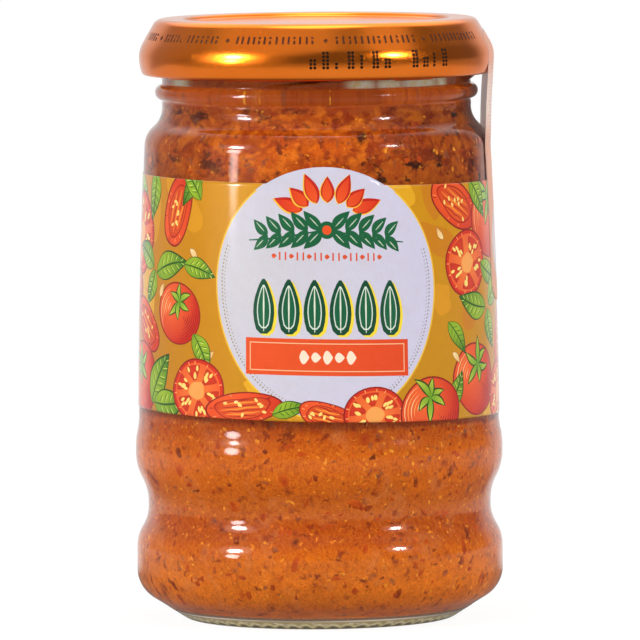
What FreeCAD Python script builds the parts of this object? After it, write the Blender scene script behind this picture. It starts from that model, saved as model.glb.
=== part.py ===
"""A sealed glass jar of red pesto with a gold twist-off cap, a wrap label and a seal strip.

Millimetres, +Z up. The origin is the centre of the ring that the jar stands on, the front faces
-Y, and +X is on the right of someone who looks at the front. Every piece is a solid of
revolution about Z or a skin cut from one, so each starts as a half section in the XZ plane.
"""

import FreeCAD, Part
import math
import os
import re
import Sketcher

# Heights are above the table, radii are from the jar's axis, angles are in degrees. The jar's
# height and the radius of its body drive the rest: the neck, the cap and the filling hang from
# the rim, and the label and the strip follow the wall and the cap that carry them.
SIZES = {
    "jar_height": 102.7,
    "body_radius": 31.55,
    # outside of the glass, from the table up
    "foot_inset": 9.15,  # from the body's widest line in to the ring that the jar stands on
    "foot_width": 2.0,
    "foot_round": 1.5,
    "push_up": 1.8,  # rise of the underside at the axis
    "heel_slope": 32.0,  # of the cone above the foot, from the table
    "heel_round": 5.5,
    "ring_inset": 0.1,  # of the lower of the two swellings
    "ring_top": 12.3,
    "waist_depth": 2.1,
    "waist_bottom": 19.4,
    "waist_width": 0.6,
    "bulge_bottom": 28.5,  # the upper swelling, just under the label
    "bulge_width": 1.0,
    "panel_bottom_inset": 0.6,  # the slightly barrelled wall that carries the label
    "panel_bottom": 35.0,
    "panel_top_inset": 1.95,
    "panel_curve": 1250.0,
    "shoulder_height": 6.7,
    "neck_radius": 26.5,
    "neck_height": 14.8,  # from the shoulder to the rim
    "bead_depth": 1.2,
    "bead_width": 2.7,
    "bead_drop": 10.9,  # from the rim to the bead's upper edge
    "rim_round": 0.9,
    # inside of the glass
    "glass_wall": 2.4,
    "base_thickness": 5.0,
    "neck_wall": 2.5,
    "inside_drop": 1.6,  # how far the inner shoulder sits below the outer one
    # screw thread: short ridges on the neck that climb to the right
    "thread_depth": 0.9,
    "thread_width": 2.4,  # at its root
    "thread_drop": 8.1,  # from the rim to the middle of a ridge
    "thread_slope": 6.0,
    "thread_sweep": 64.0,
    "thread_turn": 12.0,  # where the first ridge's middle is, from +X towards the back
    # filling
    "headspace": 11.4,  # under the rim
    # pressed cap, which sits on the glass rim
    "cap_sheet": 0.3,
    "cap_recess": 0.7,  # of the middle of the top
    "recess_margin": 2.0,  # from the bore in to the recess
    "recess_edge": 1.2,
    "cap_corner": 1.8,
    "cap_lean": 30.0,  # of the upper wall, from the vertical
    "cap_shoulder": 5.0,
    "cap_overhang": 3.9,  # of its widest line past the neck
    "cap_drop": 6.3,  # from the rim to its widest line
    "cap_tuck": 8.0,  # radius of the wall under the widest line
    "cap_tuck_turn": 18.0,
    "curl_radius": 0.75,
    "lug_sweep": 15.0,
    "lug_thickness": 1.0,
    "lug_reach": 0.5,  # under its thread ridge, from the ridge's crest
    "lug_turn": 24.0,  # from the middle of its ridge to the high end
    "lug_clearance": 0.1,
    # wrap label
    "label_thickness": 0.12,
    "label_bottom_margin": 1.0,  # from the foot of the panel
    "label_top_margin": 5.2,  # from the head of the panel
    "label_skew": 1.35,  # the label went on leaning, its right side low
    "label_gap": 14.0,  # bare glass between its ends, at the back
    "dome_rise": 3.0,  # of the arch at the front over the label's top edge
    "dome_radius": 20.0,
    "dome_offset": 1.5,  # to the right of the axis
    # seal strip, from the cap down to the label
    "strip_thickness": 0.1,
    "strip_width": 17.4,
    "strip_inset": 2.4,  # from the top of the cap
    "strip_lap": 21.5,  # over the label
    "strip_round": 4.5,
    "strip_settle": 0.25,  # the least upright run over the head of the panel
    "strip_turn": 2.0,  # from +X towards the back
    # how far the tools that trim a skin reach past it
    "trim_margin": 8.0,
}
THREAD_STARTS = 4
LEFT = 1  # the way an outline bends for someone who walks along it
RIGHT = -1
UP = FreeCAD.Vector(0, 0, 1)
BACK = FreeCAD.Vector(0, 1, 0)
HALF_SECTION = FreeCAD.Placement(FreeCAD.Vector(), FreeCAD.Rotation(FreeCAD.Vector(1, 0, 0), 90))
LEANING = FreeCAD.Placement(FreeCAD.Vector(), FreeCAD.Rotation(FreeCAD.Vector(1, 0, 0), 1))
SEEN_FROM_RIGHT = FreeCAD.Placement(FreeCAD.Vector(), FreeCAD.Rotation(BACK, UP, UP, "YXZ"))

doc = FreeCAD.newDocument("pesto_jar")
sheet = doc.addObject("Spreadsheet::Sheet", "sizes")
for row, (alias, number) in enumerate(SIZES.items(), start=1):
    sheet.set(f"A{row}", alias)
    sheet.set(f"B{row}", str(number))
    sheet.setAlias(f"B{row}", alias)
doc.recompute()


def bound(formula):
    """The formula as an expression: each size in it becomes its cell in the sheet."""

    def cell(word):
        return f"sizes.{word[0]}" if word[0] in SIZES else word[0]

    return re.sub(r"[a-z_]+", cell, formula)


def value(formula):
    return float(sheet.evalExpression(bound(formula)))


def tie(thing, **formulas):
    """Binds properties of a document object to the sheet. Two underscores stand for a dot."""
    for name, formula in formulas.items():
        thing.setExpression(name.replace("__", "."), bound(formula))


# ---------------------------------------------------------------- outlines


def ogee(start, end, level=False):
    """Two equal arcs that lead from start to end, upright at both ends or level at both."""
    rise = f"(({end[1]}) - ({start[1]}))"
    reach = f"(({end[0]}) - ({start[0]}))"
    middle = (f"(({start[0]}) + ({end[0]})) / 2", f"(({start[1]}) + ({end[1]})) / 2")
    radius = f"({rise}^2 + {reach}^2) / (4 * abs({rise if level else reach}))"
    turn = LEFT if (value(f"{rise} * {reach}") > 0) == level else RIGHT
    return [(*middle, radius, turn), (*end, radius, -turn)]


def drawn(start, end, radius, turn):
    """A line, or an arc of less than half a turn, from start to end."""
    if radius is None:
        return Part.LineSegment(start, end)
    chord = end - start
    left = FreeCAD.Vector(-chord.y, chord.x, 0).normalize()
    centre = start + chord / 2 + left * turn * math.sqrt(radius**2 - chord.Length**2 / 4)
    first, last = (start, end) if turn == LEFT else (end, start)
    angles = [math.atan2(p.y - centre.y, p.x - centre.x) for p in (first, last)]
    return Part.ArcOfCircle(Part.Circle(centre, UP, radius), *angles)


def pin(sketch, edge, end, point):
    """Holds one end of an edge at the point's two formulas, or on the axes where they are 0."""
    for formula, kind, axis in ((point[0], "DistanceX", -2), (point[1], "DistanceY", -1)):
        if formula == "0":
            sketch.addConstraint(Sketcher.Constraint("PointOnObject", edge, end, axis))
            continue
        rule = Sketcher.Constraint(kind, -1, 1, edge, end, value(formula))
        sketch.setExpression(f"Constraints[{sketch.addConstraint(rule)}]", bound(formula))


def trace(sketch, start, steps):
    """Draws the steps end to end: (r, z) is a line and (r, z, radius, turn) an arc."""
    corners = [start] + [step[:2] for step in steps]
    places = [FreeCAD.Vector(value(r), value(z), 0) for r, z in corners]
    closed = corners[0] == corners[-1]
    ends = []
    for number, step in enumerate(steps):
        radius, turn = step[2:] or (None, LEFT)
        size = radius and value(radius)
        edge = sketch.addGeometry(drawn(places[number], places[number + 1], size, turn), False)
        ends.append((edge, 1, 2) if turn == LEFT else (edge, 2, 1))
        if radius:
            rule = Sketcher.Constraint("Radius", edge, size)
            sketch.setExpression(f"Constraints[{sketch.addConstraint(rule)}]", bound(radius))
        if number:
            before, _, left_at = ends[-2]
            sketch.addConstraint(
                Sketcher.Constraint("Coincident", before, left_at, edge, ends[-1][1])
            )
        pin(sketch, edge, ends[-1][1], corners[number])
    edge, _, left_at = ends[-1]
    if closed:
        sketch.addConstraint(Sketcher.Constraint("Coincident", edge, left_at, ends[0][0], ends[0][1]))
    else:
        pin(sketch, edge, left_at, corners[-1])


def free_sketch(name, placement, start, steps):
    sketch = doc.addObject("Sketcher::SketchObject", name)
    sketch.Placement = placement
    trace(sketch, start, steps)
    return sketch


def body_sketch(body, name, role, start, steps):
    sketch = body.newObject("Sketcher::SketchObject", name)
    plane = next(plane for plane in body.Origin.OriginFeatures if plane.Role == role)
    sketch.AttachmentSupport = [(plane, "")]
    sketch.MapMode = "FlatFace"
    trace(sketch, start, steps)
    return sketch


def turned(name, source, sweep="360", about_middle=False):
    """The source swept about Z."""
    solid = doc.addObject("Part::Revolution", name)
    solid.Source = source
    solid.Axis = UP
    solid.Solid = True
    solid.Symmetric = about_middle
    tie(solid, Angle=sweep)
    return solid


# ---------------------------------------------------------------- glass jar and filling

FOOT_RADIUS = "(body_radius - foot_inset)"
FOOT_INNER = f"({FOOT_RADIUS} - foot_width)"
HEEL_START = (
    f"{FOOT_RADIUS} + foot_round * sin(heel_slope)",
    "foot_round * (1 - cos(heel_slope))",
)
RING_RADIUS = "(body_radius - ring_inset)"
WAIST_RADIUS = "(body_radius - waist_depth)"
WAIST_TOP = "waist_bottom + waist_width"
BULGE_TOP = "bulge_bottom + bulge_width"
NECK_BOTTOM = "(jar_height - neck_height)"
PANEL_BOTTOM_RADIUS = "(body_radius - panel_bottom_inset)"
PANEL_TOP_RADIUS = "(body_radius - panel_top_inset)"
PANEL_TOP = f"({NECK_BOTTOM} - shoulder_height)"
BEAD_TOP = "(jar_height - bead_drop)"
BORE_RADIUS = "(neck_radius - neck_wall)"
HEEL_ROUND_RADIUS = f"({RING_RADIUS} - heel_round * (1 - sin(heel_slope)))"
HEEL_ROUND_HEIGHT = (
    f"{HEEL_START[1]} + ({HEEL_ROUND_RADIUS} - ({HEEL_START[0]})) * tan(heel_slope)"
)
RING_BOTTOM = f"{HEEL_ROUND_HEIGHT} + heel_round * cos(heel_slope)"
BEAD_RADIUS = "neck_radius + bead_depth"
BEAD_CURVE = "((bead_width / 2)^2 + bead_depth^2) / (2 * bead_depth)"


def outer_wall():
    """From the axis under the base, out and up to the rim."""
    waist = (WAIST_RADIUS, "waist_bottom")
    bulge = ("body_radius", "bulge_bottom")
    panel = (PANEL_BOTTOM_RADIUS, "panel_bottom")
    neck = ("neck_radius", NECK_BOTTOM)
    return [
        (FOOT_INNER, "0", f"({FOOT_INNER}^2 + push_up^2) / (2 * push_up)", RIGHT),
        (FOOT_RADIUS, "0"),
        (*HEEL_START, "foot_round", LEFT),
        (HEEL_ROUND_RADIUS, HEEL_ROUND_HEIGHT),
        (RING_RADIUS, RING_BOTTOM, "heel_round", LEFT),
        (RING_RADIUS, "ring_top"),
        *ogee((RING_RADIUS, "ring_top"), waist),
        (WAIST_RADIUS, WAIST_TOP),
        *ogee((WAIST_RADIUS, WAIST_TOP), bulge),
        ("body_radius", BULGE_TOP),
        *ogee(("body_radius", BULGE_TOP), panel),
        (PANEL_TOP_RADIUS, PANEL_TOP, "panel_curve", LEFT),
        *ogee((PANEL_TOP_RADIUS, PANEL_TOP), neck),
        ("neck_radius", f"{BEAD_TOP} - bead_width"),
        (BEAD_RADIUS, f"{BEAD_TOP} - bead_width / 2", BEAD_CURVE, LEFT),
        ("neck_radius", BEAD_TOP, BEAD_CURVE, LEFT),
        ("neck_radius", "jar_height - rim_round"),
        ("neck_radius - rim_round", "jar_height", "rim_round", LEFT),
    ]


def inner_wall():
    """From the bore at the rim, down to the inside of the base and in to the axis."""
    neck = (BORE_RADIUS, f"{NECK_BOTTOM} - inside_drop")
    shoulder = (f"{PANEL_TOP_RADIUS} - glass_wall", f"{PANEL_TOP} - inside_drop")
    panel = (f"{PANEL_BOTTOM_RADIUS} - glass_wall", "panel_bottom")
    bulge = "body_radius - glass_wall"
    waist = f"{WAIST_RADIUS} - glass_wall"
    ring = (f"{RING_RADIUS} - glass_wall", "ring_top")
    heel = "(ring_top - base_thickness)"
    return [
        neck,
        *ogee(neck, shoulder),
        (*panel, "panel_curve", RIGHT),
        *ogee(panel, (bulge, BULGE_TOP)),
        (bulge, "bulge_bottom"),
        *ogee((bulge, "bulge_bottom"), (waist, WAIST_TOP)),
        (waist, "waist_bottom"),
        *ogee((waist, "waist_bottom"), ring),
        (f"{ring[0]} - {heel}", "base_thickness", heel, RIGHT),
        ("0", "base_thickness"),
    ]


THREAD_MIDDLE = "jar_height - thread_drop"


def add_thread(body):
    """Four tilted ridges on the neck. Each is swept about an axis that leans by the slope."""
    root = "neck_radius - neck_wall / 2"
    crest = "neck_radius + thread_depth"
    half = "thread_width / 2"
    edge = "thread_width / 4"
    section = [(crest, f"-{edge}"), (crest, edge), (root, half), (root, f"-{half}")]
    sketch = body_sketch(body, "thread_section", "XZ_Plane", section[-1], section)
    sketch.AttachmentOffset = LEANING
    tie(
        sketch,
        AttachmentOffset__Base__y=THREAD_MIDDLE,
        AttachmentOffset__Rotation__Angle="thread_slope",
    )
    ridge = body.newObject("PartDesign::Revolution", "thread_ridge")
    ridge.Profile = sketch
    ridge.ReferenceAxis = (sketch, ["V_Axis"])
    ridge.Midplane = True
    tie(ridge, Angle="thread_sweep")
    doc.recompute()
    ring = body.newObject("PartDesign::PolarPattern", "thread")
    ring.Originals = [ridge]
    ring.Axis = (next(a for a in body.Origin.OriginFeatures if a.Role == "Z_Axis"), [""])
    ring.Angle = 360
    ring.Occurrences = THREAD_STARTS
    body.Tip = ring


def make_glass_jar():
    body = doc.addObject("PartDesign::Body", "glass_jar")
    start = ("0", "push_up")
    rim = [
        (f"{BORE_RADIUS} + rim_round", "jar_height"),
        (BORE_RADIUS, "jar_height - rim_round", "rim_round", LEFT),
    ]
    steps = outer_wall() + rim + inner_wall() + [start]
    sketch = body_sketch(body, "glass_section", "XZ_Plane", start, steps)
    glass = body.newObject("PartDesign::Revolution", "glass")
    glass.Profile = sketch
    glass.ReferenceAxis = (sketch, ["V_Axis"])
    doc.recompute()
    add_thread(body)
    body.Placement = FreeCAD.Placement(FreeCAD.Vector(), FreeCAD.Rotation(UP, 0))
    tie(body, Placement__Rotation__Angle="thread_turn")
    return body


def make_pesto():
    """What the jar holds: its inside, cut off level."""
    start = ("0", "jar_height")
    steps = [(BORE_RADIUS, "jar_height")] + inner_wall() + [start]
    inside = turned("jar_inside", free_sketch("inside_section", HALF_SECTION, start, steps))
    below = doc.addObject("Part::Cylinder", "below_level")
    tie(below, Radius="body_radius", Height="jar_height - headspace")
    pesto = doc.addObject("Part::Common", "pesto")
    pesto.Base = inside
    pesto.Tool = below
    return pesto


# ---------------------------------------------------------------- cap

CAP_TOP = "jar_height + cap_sheet"
CAP_RADIUS = "(neck_radius + cap_overhang)"
CAP_WIDEST = "(jar_height - cap_drop)"
RECESS_RADIUS = f"({BORE_RADIUS} - recess_margin)"
# The upper wall is straight. It meets the shoulder arc here, and the corner arc above.
SHOULDER_START = (
    f"{CAP_RADIUS} - cap_shoulder * (1 - cos(cap_lean))",
    f"{CAP_WIDEST} + cap_shoulder * sin(cap_lean)",
)
CORNER_END_HEIGHT = f"{CAP_TOP} - cap_corner * (1 - sin(cap_lean))"
CORNER_END_RADIUS = (
    f"{SHOULDER_START[0]} - (({CORNER_END_HEIGHT}) - ({SHOULDER_START[1]})) * tan(cap_lean)"
)
TUCK_END = (
    f"{CAP_RADIUS} - cap_tuck * (1 - cos(cap_tuck_turn))",
    f"{CAP_WIDEST} - cap_tuck * sin(cap_tuck_turn)",
)
CURL_CENTRE = (
    f"{TUCK_END[0]} - curl_radius * cos(cap_tuck_turn)",
    f"{TUCK_END[1]} + curl_radius * sin(cap_tuck_turn)",
)


def cap_skin():
    """The cap's outer face, from the axis to the end of the rolled edge."""
    recess = (RECESS_RADIUS, f"{CAP_TOP} - cap_recess")
    return [
        recess,
        *ogee(recess, (f"{RECESS_RADIUS} + recess_edge", CAP_TOP), level=True),
        (f"{CORNER_END_RADIUS} - cap_corner * cos(cap_lean)", CAP_TOP),
        (CORNER_END_RADIUS, CORNER_END_HEIGHT, "cap_corner", RIGHT),
        SHOULDER_START,
        (CAP_RADIUS, CAP_WIDEST, "cap_shoulder", RIGHT),
        (*TUCK_END, "cap_tuck", RIGHT),
        (f"{CURL_CENTRE[0]} - curl_radius", CURL_CENTRE[1], "curl_radius", RIGHT),
        (CURL_CENTRE[0], f"{CURL_CENTRE[1]} + curl_radius", "curl_radius", RIGHT),
    ]


def make_lug(number):
    """A tab of the rolled edge that reaches in under the high end of one thread ridge."""
    low_end = "neck_radius * sin(lug_turn - lug_sweep / 2) * tan(thread_slope)"
    top = f"{THREAD_MIDDLE} + {low_end} - thread_width / 2 - lug_clearance"
    bottom = f"{top} - lug_thickness"
    inner = "neck_radius + thread_depth - lug_reach"
    outer = CURL_CENTRE[0] + " - curl_radius + cap_sheet / 2"
    section = [(outer, bottom), (outer, top), (inner, top), (inner, bottom)]
    sketch = free_sketch(f"lug_section_{number}", HALF_SECTION, section[-1], section)
    lug = turned(f"lug_{number}", sketch, "lug_sweep", about_middle=True)
    lug.Placement = FreeCAD.Placement(FreeCAD.Vector(), FreeCAD.Rotation(UP, 1))
    tie(lug, Placement__Rotation__Angle=f"thread_turn + lug_turn + {number} * 360 / {THREAD_STARTS}")
    return lug


def make_twist_cap():
    start = ("0", f"{CAP_TOP} - cap_recess")
    skin = free_sketch("cap_section", HALF_SECTION, start, cap_skin())
    sheet_metal = doc.addObject("Part::Offset2D", "cap_sheet_section")
    sheet_metal.Source = skin
    sheet_metal.Mode = "Skin"
    sheet_metal.Join = "Arc"
    sheet_metal.Fill = True
    tie(sheet_metal, Value="-cap_sheet")
    shell = turned("cap_shell", sheet_metal)
    cap = doc.addObject("Part::MultiFuse", "twist_cap")
    cap.Shapes = [shell] + [make_lug(number) for number in range(THREAD_STARTS)]
    return cap


# ---------------------------------------------------------------- label and seal strip


LABEL_BOTTOM_RADIUS = f"{PANEL_BOTTOM_RADIUS} + label_thickness"
LABEL_TOP_RADIUS = f"{PANEL_TOP_RADIUS} + label_thickness"
LABEL_BOTTOM = "(panel_bottom + label_bottom_margin)"
LABEL_TOP = f"({PANEL_TOP} - label_top_margin)"


def make_wrap_label():
    """The panel's skin between two level cuts, with an arch at the front, all leaning a little."""
    inner_bottom = (PANEL_BOTTOM_RADIUS, "panel_bottom")
    steps = [
        (LABEL_BOTTOM_RADIUS, "panel_bottom"),
        (LABEL_TOP_RADIUS, PANEL_TOP, "panel_curve", LEFT),
        (PANEL_TOP_RADIUS, PANEL_TOP),
        (*inner_bottom, "panel_curve", RIGHT),
    ]
    section = free_sketch("label_section", HALF_SECTION, inner_bottom, steps)
    blank = turned("label_blank", section, "360 - label_gap", about_middle=True)
    blank.Placement = FreeCAD.Placement(FreeCAD.Vector(), FreeCAD.Rotation(UP, -90))

    reach = "body_radius + trim_margin"
    half_height = f"({LABEL_TOP} - {LABEL_BOTTOM}) / 2"
    band = doc.addObject("Part::Cylinder", "label_band")
    tie(
        band,
        Radius=reach,
        Height=f"{LABEL_TOP} - {LABEL_BOTTOM}",
        Placement__Base__z=f"-{half_height}",
    )
    arch = doc.addObject("Part::Cylinder", "label_arch")
    arch.Placement = FreeCAD.Placement(
        FreeCAD.Vector(), FreeCAD.Rotation(FreeCAD.Vector(1, 0, 0), 90)
    )
    tie(
        arch,
        Radius="dome_radius",
        Height=reach,
        Placement__Base__x="dome_offset",
        Placement__Base__z=f"{half_height} + dome_rise - dome_radius",
    )
    outline = doc.addObject("Part::Fuse", "label_outline")
    outline.Base = band
    outline.Tool = arch
    outline.Placement = FreeCAD.Placement(FreeCAD.Vector(), FreeCAD.Rotation(BACK, 1))
    tie(
        outline,
        Placement__Base__z=f"({LABEL_BOTTOM} + {LABEL_TOP}) / 2",
        Placement__Rotation__Angle="label_skew",
    )
    label = doc.addObject("Part::Common", "wrap_label")
    label.Base = blank
    label.Tool = outline
    return label


def strip_landing():
    """Height where the taut film turns upright, so that it clears a shoulder wider than the cap."""
    shoulder = ogee((PANEL_TOP_RADIUS, PANEL_TOP), ("neck_radius", NECK_BOTTOM))[0][2]
    bend = f"({shoulder} + label_thickness)"
    reach = f"({CAP_RADIUS} - ({LABEL_TOP_RADIUS} - {bend}))"
    rise = f"({CAP_WIDEST} - {PANEL_TOP})"
    lean = f"(atan2({rise}; {reach}) - acos({bend} / sqrt({rise}^2 + {reach}^2)))"
    return f"{PANEL_TOP} + max(strip_settle; {bend} * tan({lean} / 2))"


def make_seal_strip():
    """A film that lies on the cap's wall, spans the neck and lies on the label."""
    start = (CORNER_END_RADIUS, CORNER_END_HEIGHT)
    steps = [
        SHOULDER_START,
        (CAP_RADIUS, CAP_WIDEST, "cap_shoulder", RIGHT),
        (LABEL_TOP_RADIUS, strip_landing()),
        (LABEL_TOP_RADIUS, PANEL_TOP),
        (LABEL_BOTTOM_RADIUS, "panel_bottom", "panel_curve", RIGHT),
    ]
    film = doc.addObject("Part::Offset2D", "strip_film_section")
    film.Source = free_sketch("strip_section", HALF_SECTION, start, steps)
    film.Mode = "Skin"
    film.Join = "Arc"
    film.Fill = True
    tie(film, Value="strip_thickness")
    sweep = f"4 * asin(strip_width / 2 / {PANEL_TOP_RADIUS})"
    blank = turned("strip_blank", film, sweep, about_middle=True)

    side = "strip_width / 2"
    inset = f"{side} - strip_round"
    top = f"{CAP_TOP} - strip_inset"
    bottom = f"{LABEL_TOP} - strip_lap"
    low = f"{bottom} + strip_round"
    high = f"{top} - strip_round"
    start = (side, low)
    steps = [
        (side, high),
        (inset, top, "strip_round", LEFT),
        (f"-({inset})", top),
        (f"-({side})", high, "strip_round", LEFT),
        (f"-({side})", low),
        (f"-({inset})", bottom, "strip_round", LEFT),
        (inset, bottom),
        (*start, "strip_round", LEFT),
    ]
    outline = doc.addObject("Part::Extrusion", "strip_outline")
    outline.Base = free_sketch("strip_front", SEEN_FROM_RIGHT, start, steps)
    outline.Dir = FreeCAD.Vector(1, 0, 0)
    outline.DirMode = "Custom"
    outline.Solid = True
    tie(outline, LengthFwd=f"{CAP_RADIUS} + trim_margin")
    strip = doc.addObject("Part::Common", "seal_strip")
    strip.Base = blank
    strip.Tool = outline
    strip.Placement = FreeCAD.Placement(FreeCAD.Vector(), FreeCAD.Rotation(UP, 1))
    tie(strip, Placement__Rotation__Angle="strip_turn")
    return strip


pieces = [
    make_glass_jar(),
    make_pesto(),
    make_twist_cap(),
    make_wrap_label(),
    make_seal_strip(),
]
for piece in pieces:
    piece.Label = piece.Name
doc.recompute()

for thing in doc.Objects:
    if "Invalid" in thing.State or "Error" in thing.State:
        raise RuntimeError(f"{thing.Name} failed: {thing.State}")
for piece in pieces:
    if piece.Shape.isNull() or not piece.Shape.isValid() or len(piece.Shape.Solids) != 1:
        raise RuntimeError(f"{piece.Label} isn't one valid solid")

os.makedirs("parts", exist_ok=True)
for piece in pieces:
    piece.Shape.exportStep(f"parts/{piece.Label}.step")
    box = piece.Shape.BoundBox
    print(piece.Label, round(piece.Shape.Volume), "mm3", round(box.ZMin, 2), round(box.ZMax, 2))
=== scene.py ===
"""Looks of the pesto jar: glass, pesto, lacquered cap, printed label and seal strip.

Metres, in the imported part's frame: +Z up, the front faces -Y. Lengths below are in millimetres
and are multiplied by MM where they reach Blender. Colours are written 0 to 255.
"""

import math
import random

import bmesh
import bpy
import numpy as np
from mathutils import Matrix, Vector
from mathutils.geometry import delaunay_2d_cdt


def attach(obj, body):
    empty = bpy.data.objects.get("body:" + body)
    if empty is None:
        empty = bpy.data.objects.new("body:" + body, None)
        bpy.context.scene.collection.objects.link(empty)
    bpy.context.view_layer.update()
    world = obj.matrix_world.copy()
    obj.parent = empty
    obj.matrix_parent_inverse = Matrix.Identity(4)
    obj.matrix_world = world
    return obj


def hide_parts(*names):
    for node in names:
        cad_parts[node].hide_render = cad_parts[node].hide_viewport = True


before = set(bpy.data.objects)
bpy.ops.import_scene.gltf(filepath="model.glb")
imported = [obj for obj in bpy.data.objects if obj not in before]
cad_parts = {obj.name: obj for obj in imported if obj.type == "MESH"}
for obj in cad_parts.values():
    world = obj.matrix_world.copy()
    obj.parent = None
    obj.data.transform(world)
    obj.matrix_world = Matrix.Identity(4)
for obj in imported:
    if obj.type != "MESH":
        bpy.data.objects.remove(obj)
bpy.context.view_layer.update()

MM = 0.001
TURN = 2 * math.pi
scene = bpy.context.scene

# ---------------------------------------------------------------- materials


def linear(colour):
    """A colour written 0 to 255, as the shaders take it."""
    out = []
    for level in colour:
        c = level / 255
        out.append(c / 12.92 if c <= 0.04045 else ((c + 0.055) / 1.055) ** 2.4)
    return tuple(out)


class Look:
    """A material with one Principled shader and the nodes that feed it."""

    def __init__(self, name, **sockets):
        self.material = bpy.data.materials.new(name)
        self.material.use_nodes = True
        self.nodes = self.material.node_tree.nodes
        self.shader = self.nodes["Principled BSDF"]
        self.out = self.nodes["Material Output"]
        for socket, value in sockets.items():
            self.shader.inputs[socket.replace("_", " ")].default_value = value
        where = self.add("ShaderNodeTexCoord")
        self.place = self.vector("SCALE", where.outputs["Object"], 1 / MM)

    def add(self, kind, **settings):
        node = self.nodes.new(kind)
        for key, value in settings.items():
            setattr(node, key, value)
        return node

    def link(self, source, target):
        self.material.node_tree.links.new(source, target)

    def feed(self, socket, source):
        self.link(source, self.shader.inputs[socket])

    def attribute(self, name):
        return self.add("ShaderNodeAttribute", attribute_name=name).outputs["Color"]

    def axis(self, letter):
        """X, Y or Z in millimetres."""
        node = self.add("ShaderNodeSeparateXYZ")
        self.link(self.place, node.inputs[0])
        return node.outputs[letter]

    def vector(self, operation, first, second):
        node = self.add("ShaderNodeVectorMath", operation=operation)
        self.link(first, node.inputs[0])
        if operation == "SCALE":
            node.inputs["Scale"].default_value = second
        elif isinstance(second, tuple):
            node.inputs[1].default_value = second
        else:
            self.link(second, node.inputs[1])
        return node.outputs[0]

    def math(self, operation, *values):
        node = self.add("ShaderNodeMath", operation=operation)
        for number, value in enumerate(values):
            if isinstance(value, (int, float)):
                node.inputs[number].default_value = value
            else:
                self.link(value, node.inputs[number])
        return node.outputs[0]

    def noise(self, scale, detail=4, rough=0.55, stretch=None, warp=0.0):
        """Noise with `scale` lumps a millimetre."""
        node = self.add("ShaderNodeTexNoise")
        settings = {"Scale": scale, "Detail": detail, "Roughness": rough, "Distortion": warp}
        for socket, value in settings.items():
            node.inputs[socket].default_value = value
        place = self.vector("MULTIPLY", self.place, stretch) if stretch else self.place
        self.link(place, node.inputs["Vector"])
        return node.outputs["Fac"]

    def cells(self, scale, warp):
        """The distance from scattered points, `scale` of them a millimetre, bent by noise."""
        node = self.add("ShaderNodeTexVoronoi")
        node.inputs["Scale"].default_value = scale
        shove = self.add("ShaderNodeTexNoise")
        shove.inputs["Scale"].default_value = scale * 1.7
        self.link(self.place, shove.inputs["Vector"])
        shift = self.vector("SCALE", shove.outputs["Color"], warp / scale)
        self.link(self.vector("ADD", self.place, shift), node.inputs["Vector"])
        return node.outputs["Distance"]

    def steps(self, source, *stops):
        """A ramp through stops, each (position, level or colour)."""
        node = self.add("ShaderNodeValToRGB")
        ramp = node.color_ramp
        while len(ramp.elements) < len(stops):
            ramp.elements.new(0.5)
        for element, (position, level) in zip(ramp.elements, stops):
            element.position = position
            colour = linear(level) if isinstance(level, tuple) else (level,) * 3
            element.color = (*colour, 1)
        self.link(source, node.inputs["Fac"])
        return node.outputs["Color"]

    def mix(self, share, first, second, blend="MIX"):
        node = self.add("ShaderNodeMix", data_type="RGBA", blend_type=blend)
        for socket, value in ((0, share), (6, first), (7, second)):
            if isinstance(value, tuple):
                node.inputs[socket].default_value = (*linear(value), 1)
            elif isinstance(value, (int, float)):
                node.inputs[socket].default_value = value
            else:
                self.link(value, node.inputs[socket])
        return node.outputs[2]

    def over(self, base, colour, share, *more, blend="MIX"):
        """base with colour over it, by the product of the shares."""
        for other in more:
            share = self.math("MULTIPLY", share, other)
        return self.mix(share, base, colour, blend)

    def bump(self, height, depth, strength=1.0):
        """Relief of `depth` millimetres."""
        node = self.add("ShaderNodeBump")
        node.inputs["Strength"].default_value = strength
        node.inputs["Distance"].default_value = depth * MM
        self.link(height, node.inputs["Height"])
        self.feed("Normal", node.outputs["Normal"])

    def blend_out(self, share, other):
        """Hands share of the surface to another shader."""
        both = self.add("ShaderNodeMixShader")
        for socket, source in enumerate((share, self.shader.outputs[0], other)):
            self.link(source, both.inputs[socket])
        self.link(both.outputs[0], self.out.inputs["Surface"])

    def clear_to_lamps(self, tint):
        """Lets light from lamps straight through to what is behind."""
        through = self.add("ShaderNodeBsdfTransparent")
        through.inputs["Color"].default_value = (*linear(tint), 1)
        shadow = self.add("ShaderNodeLightPath").outputs["Is Shadow Ray"]
        self.blend_out(shadow, through.outputs[0])


# ---------------------------------------------------------------- meshes


def make_piece(name, verts, faces, look, slot, smooth=True, paint=None):
    """A mesh piece from points in millimetres. paint gives a colour for each face corner."""
    mesh = bpy.data.meshes.new(name)
    mesh.from_pydata([tuple(c * MM for c in v) for v in verts], [], [tuple(f) for f in faces])
    mesh.validate()
    mesh.materials.append(look.material)
    mesh.polygons.foreach_set("use_smooth", [smooth] * len(mesh.polygons))
    if paint is not None:
        layer = mesh.color_attributes.new("print", "FLOAT_COLOR", "CORNER")
        layer.data.foreach_set("color", np.asarray(paint, dtype=np.float32).ravel())
    mesh.update()
    piece = bpy.data.objects.new(name, mesh)
    scene.collection.objects.link(piece)
    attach(piece, "root")
    return piece


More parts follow.
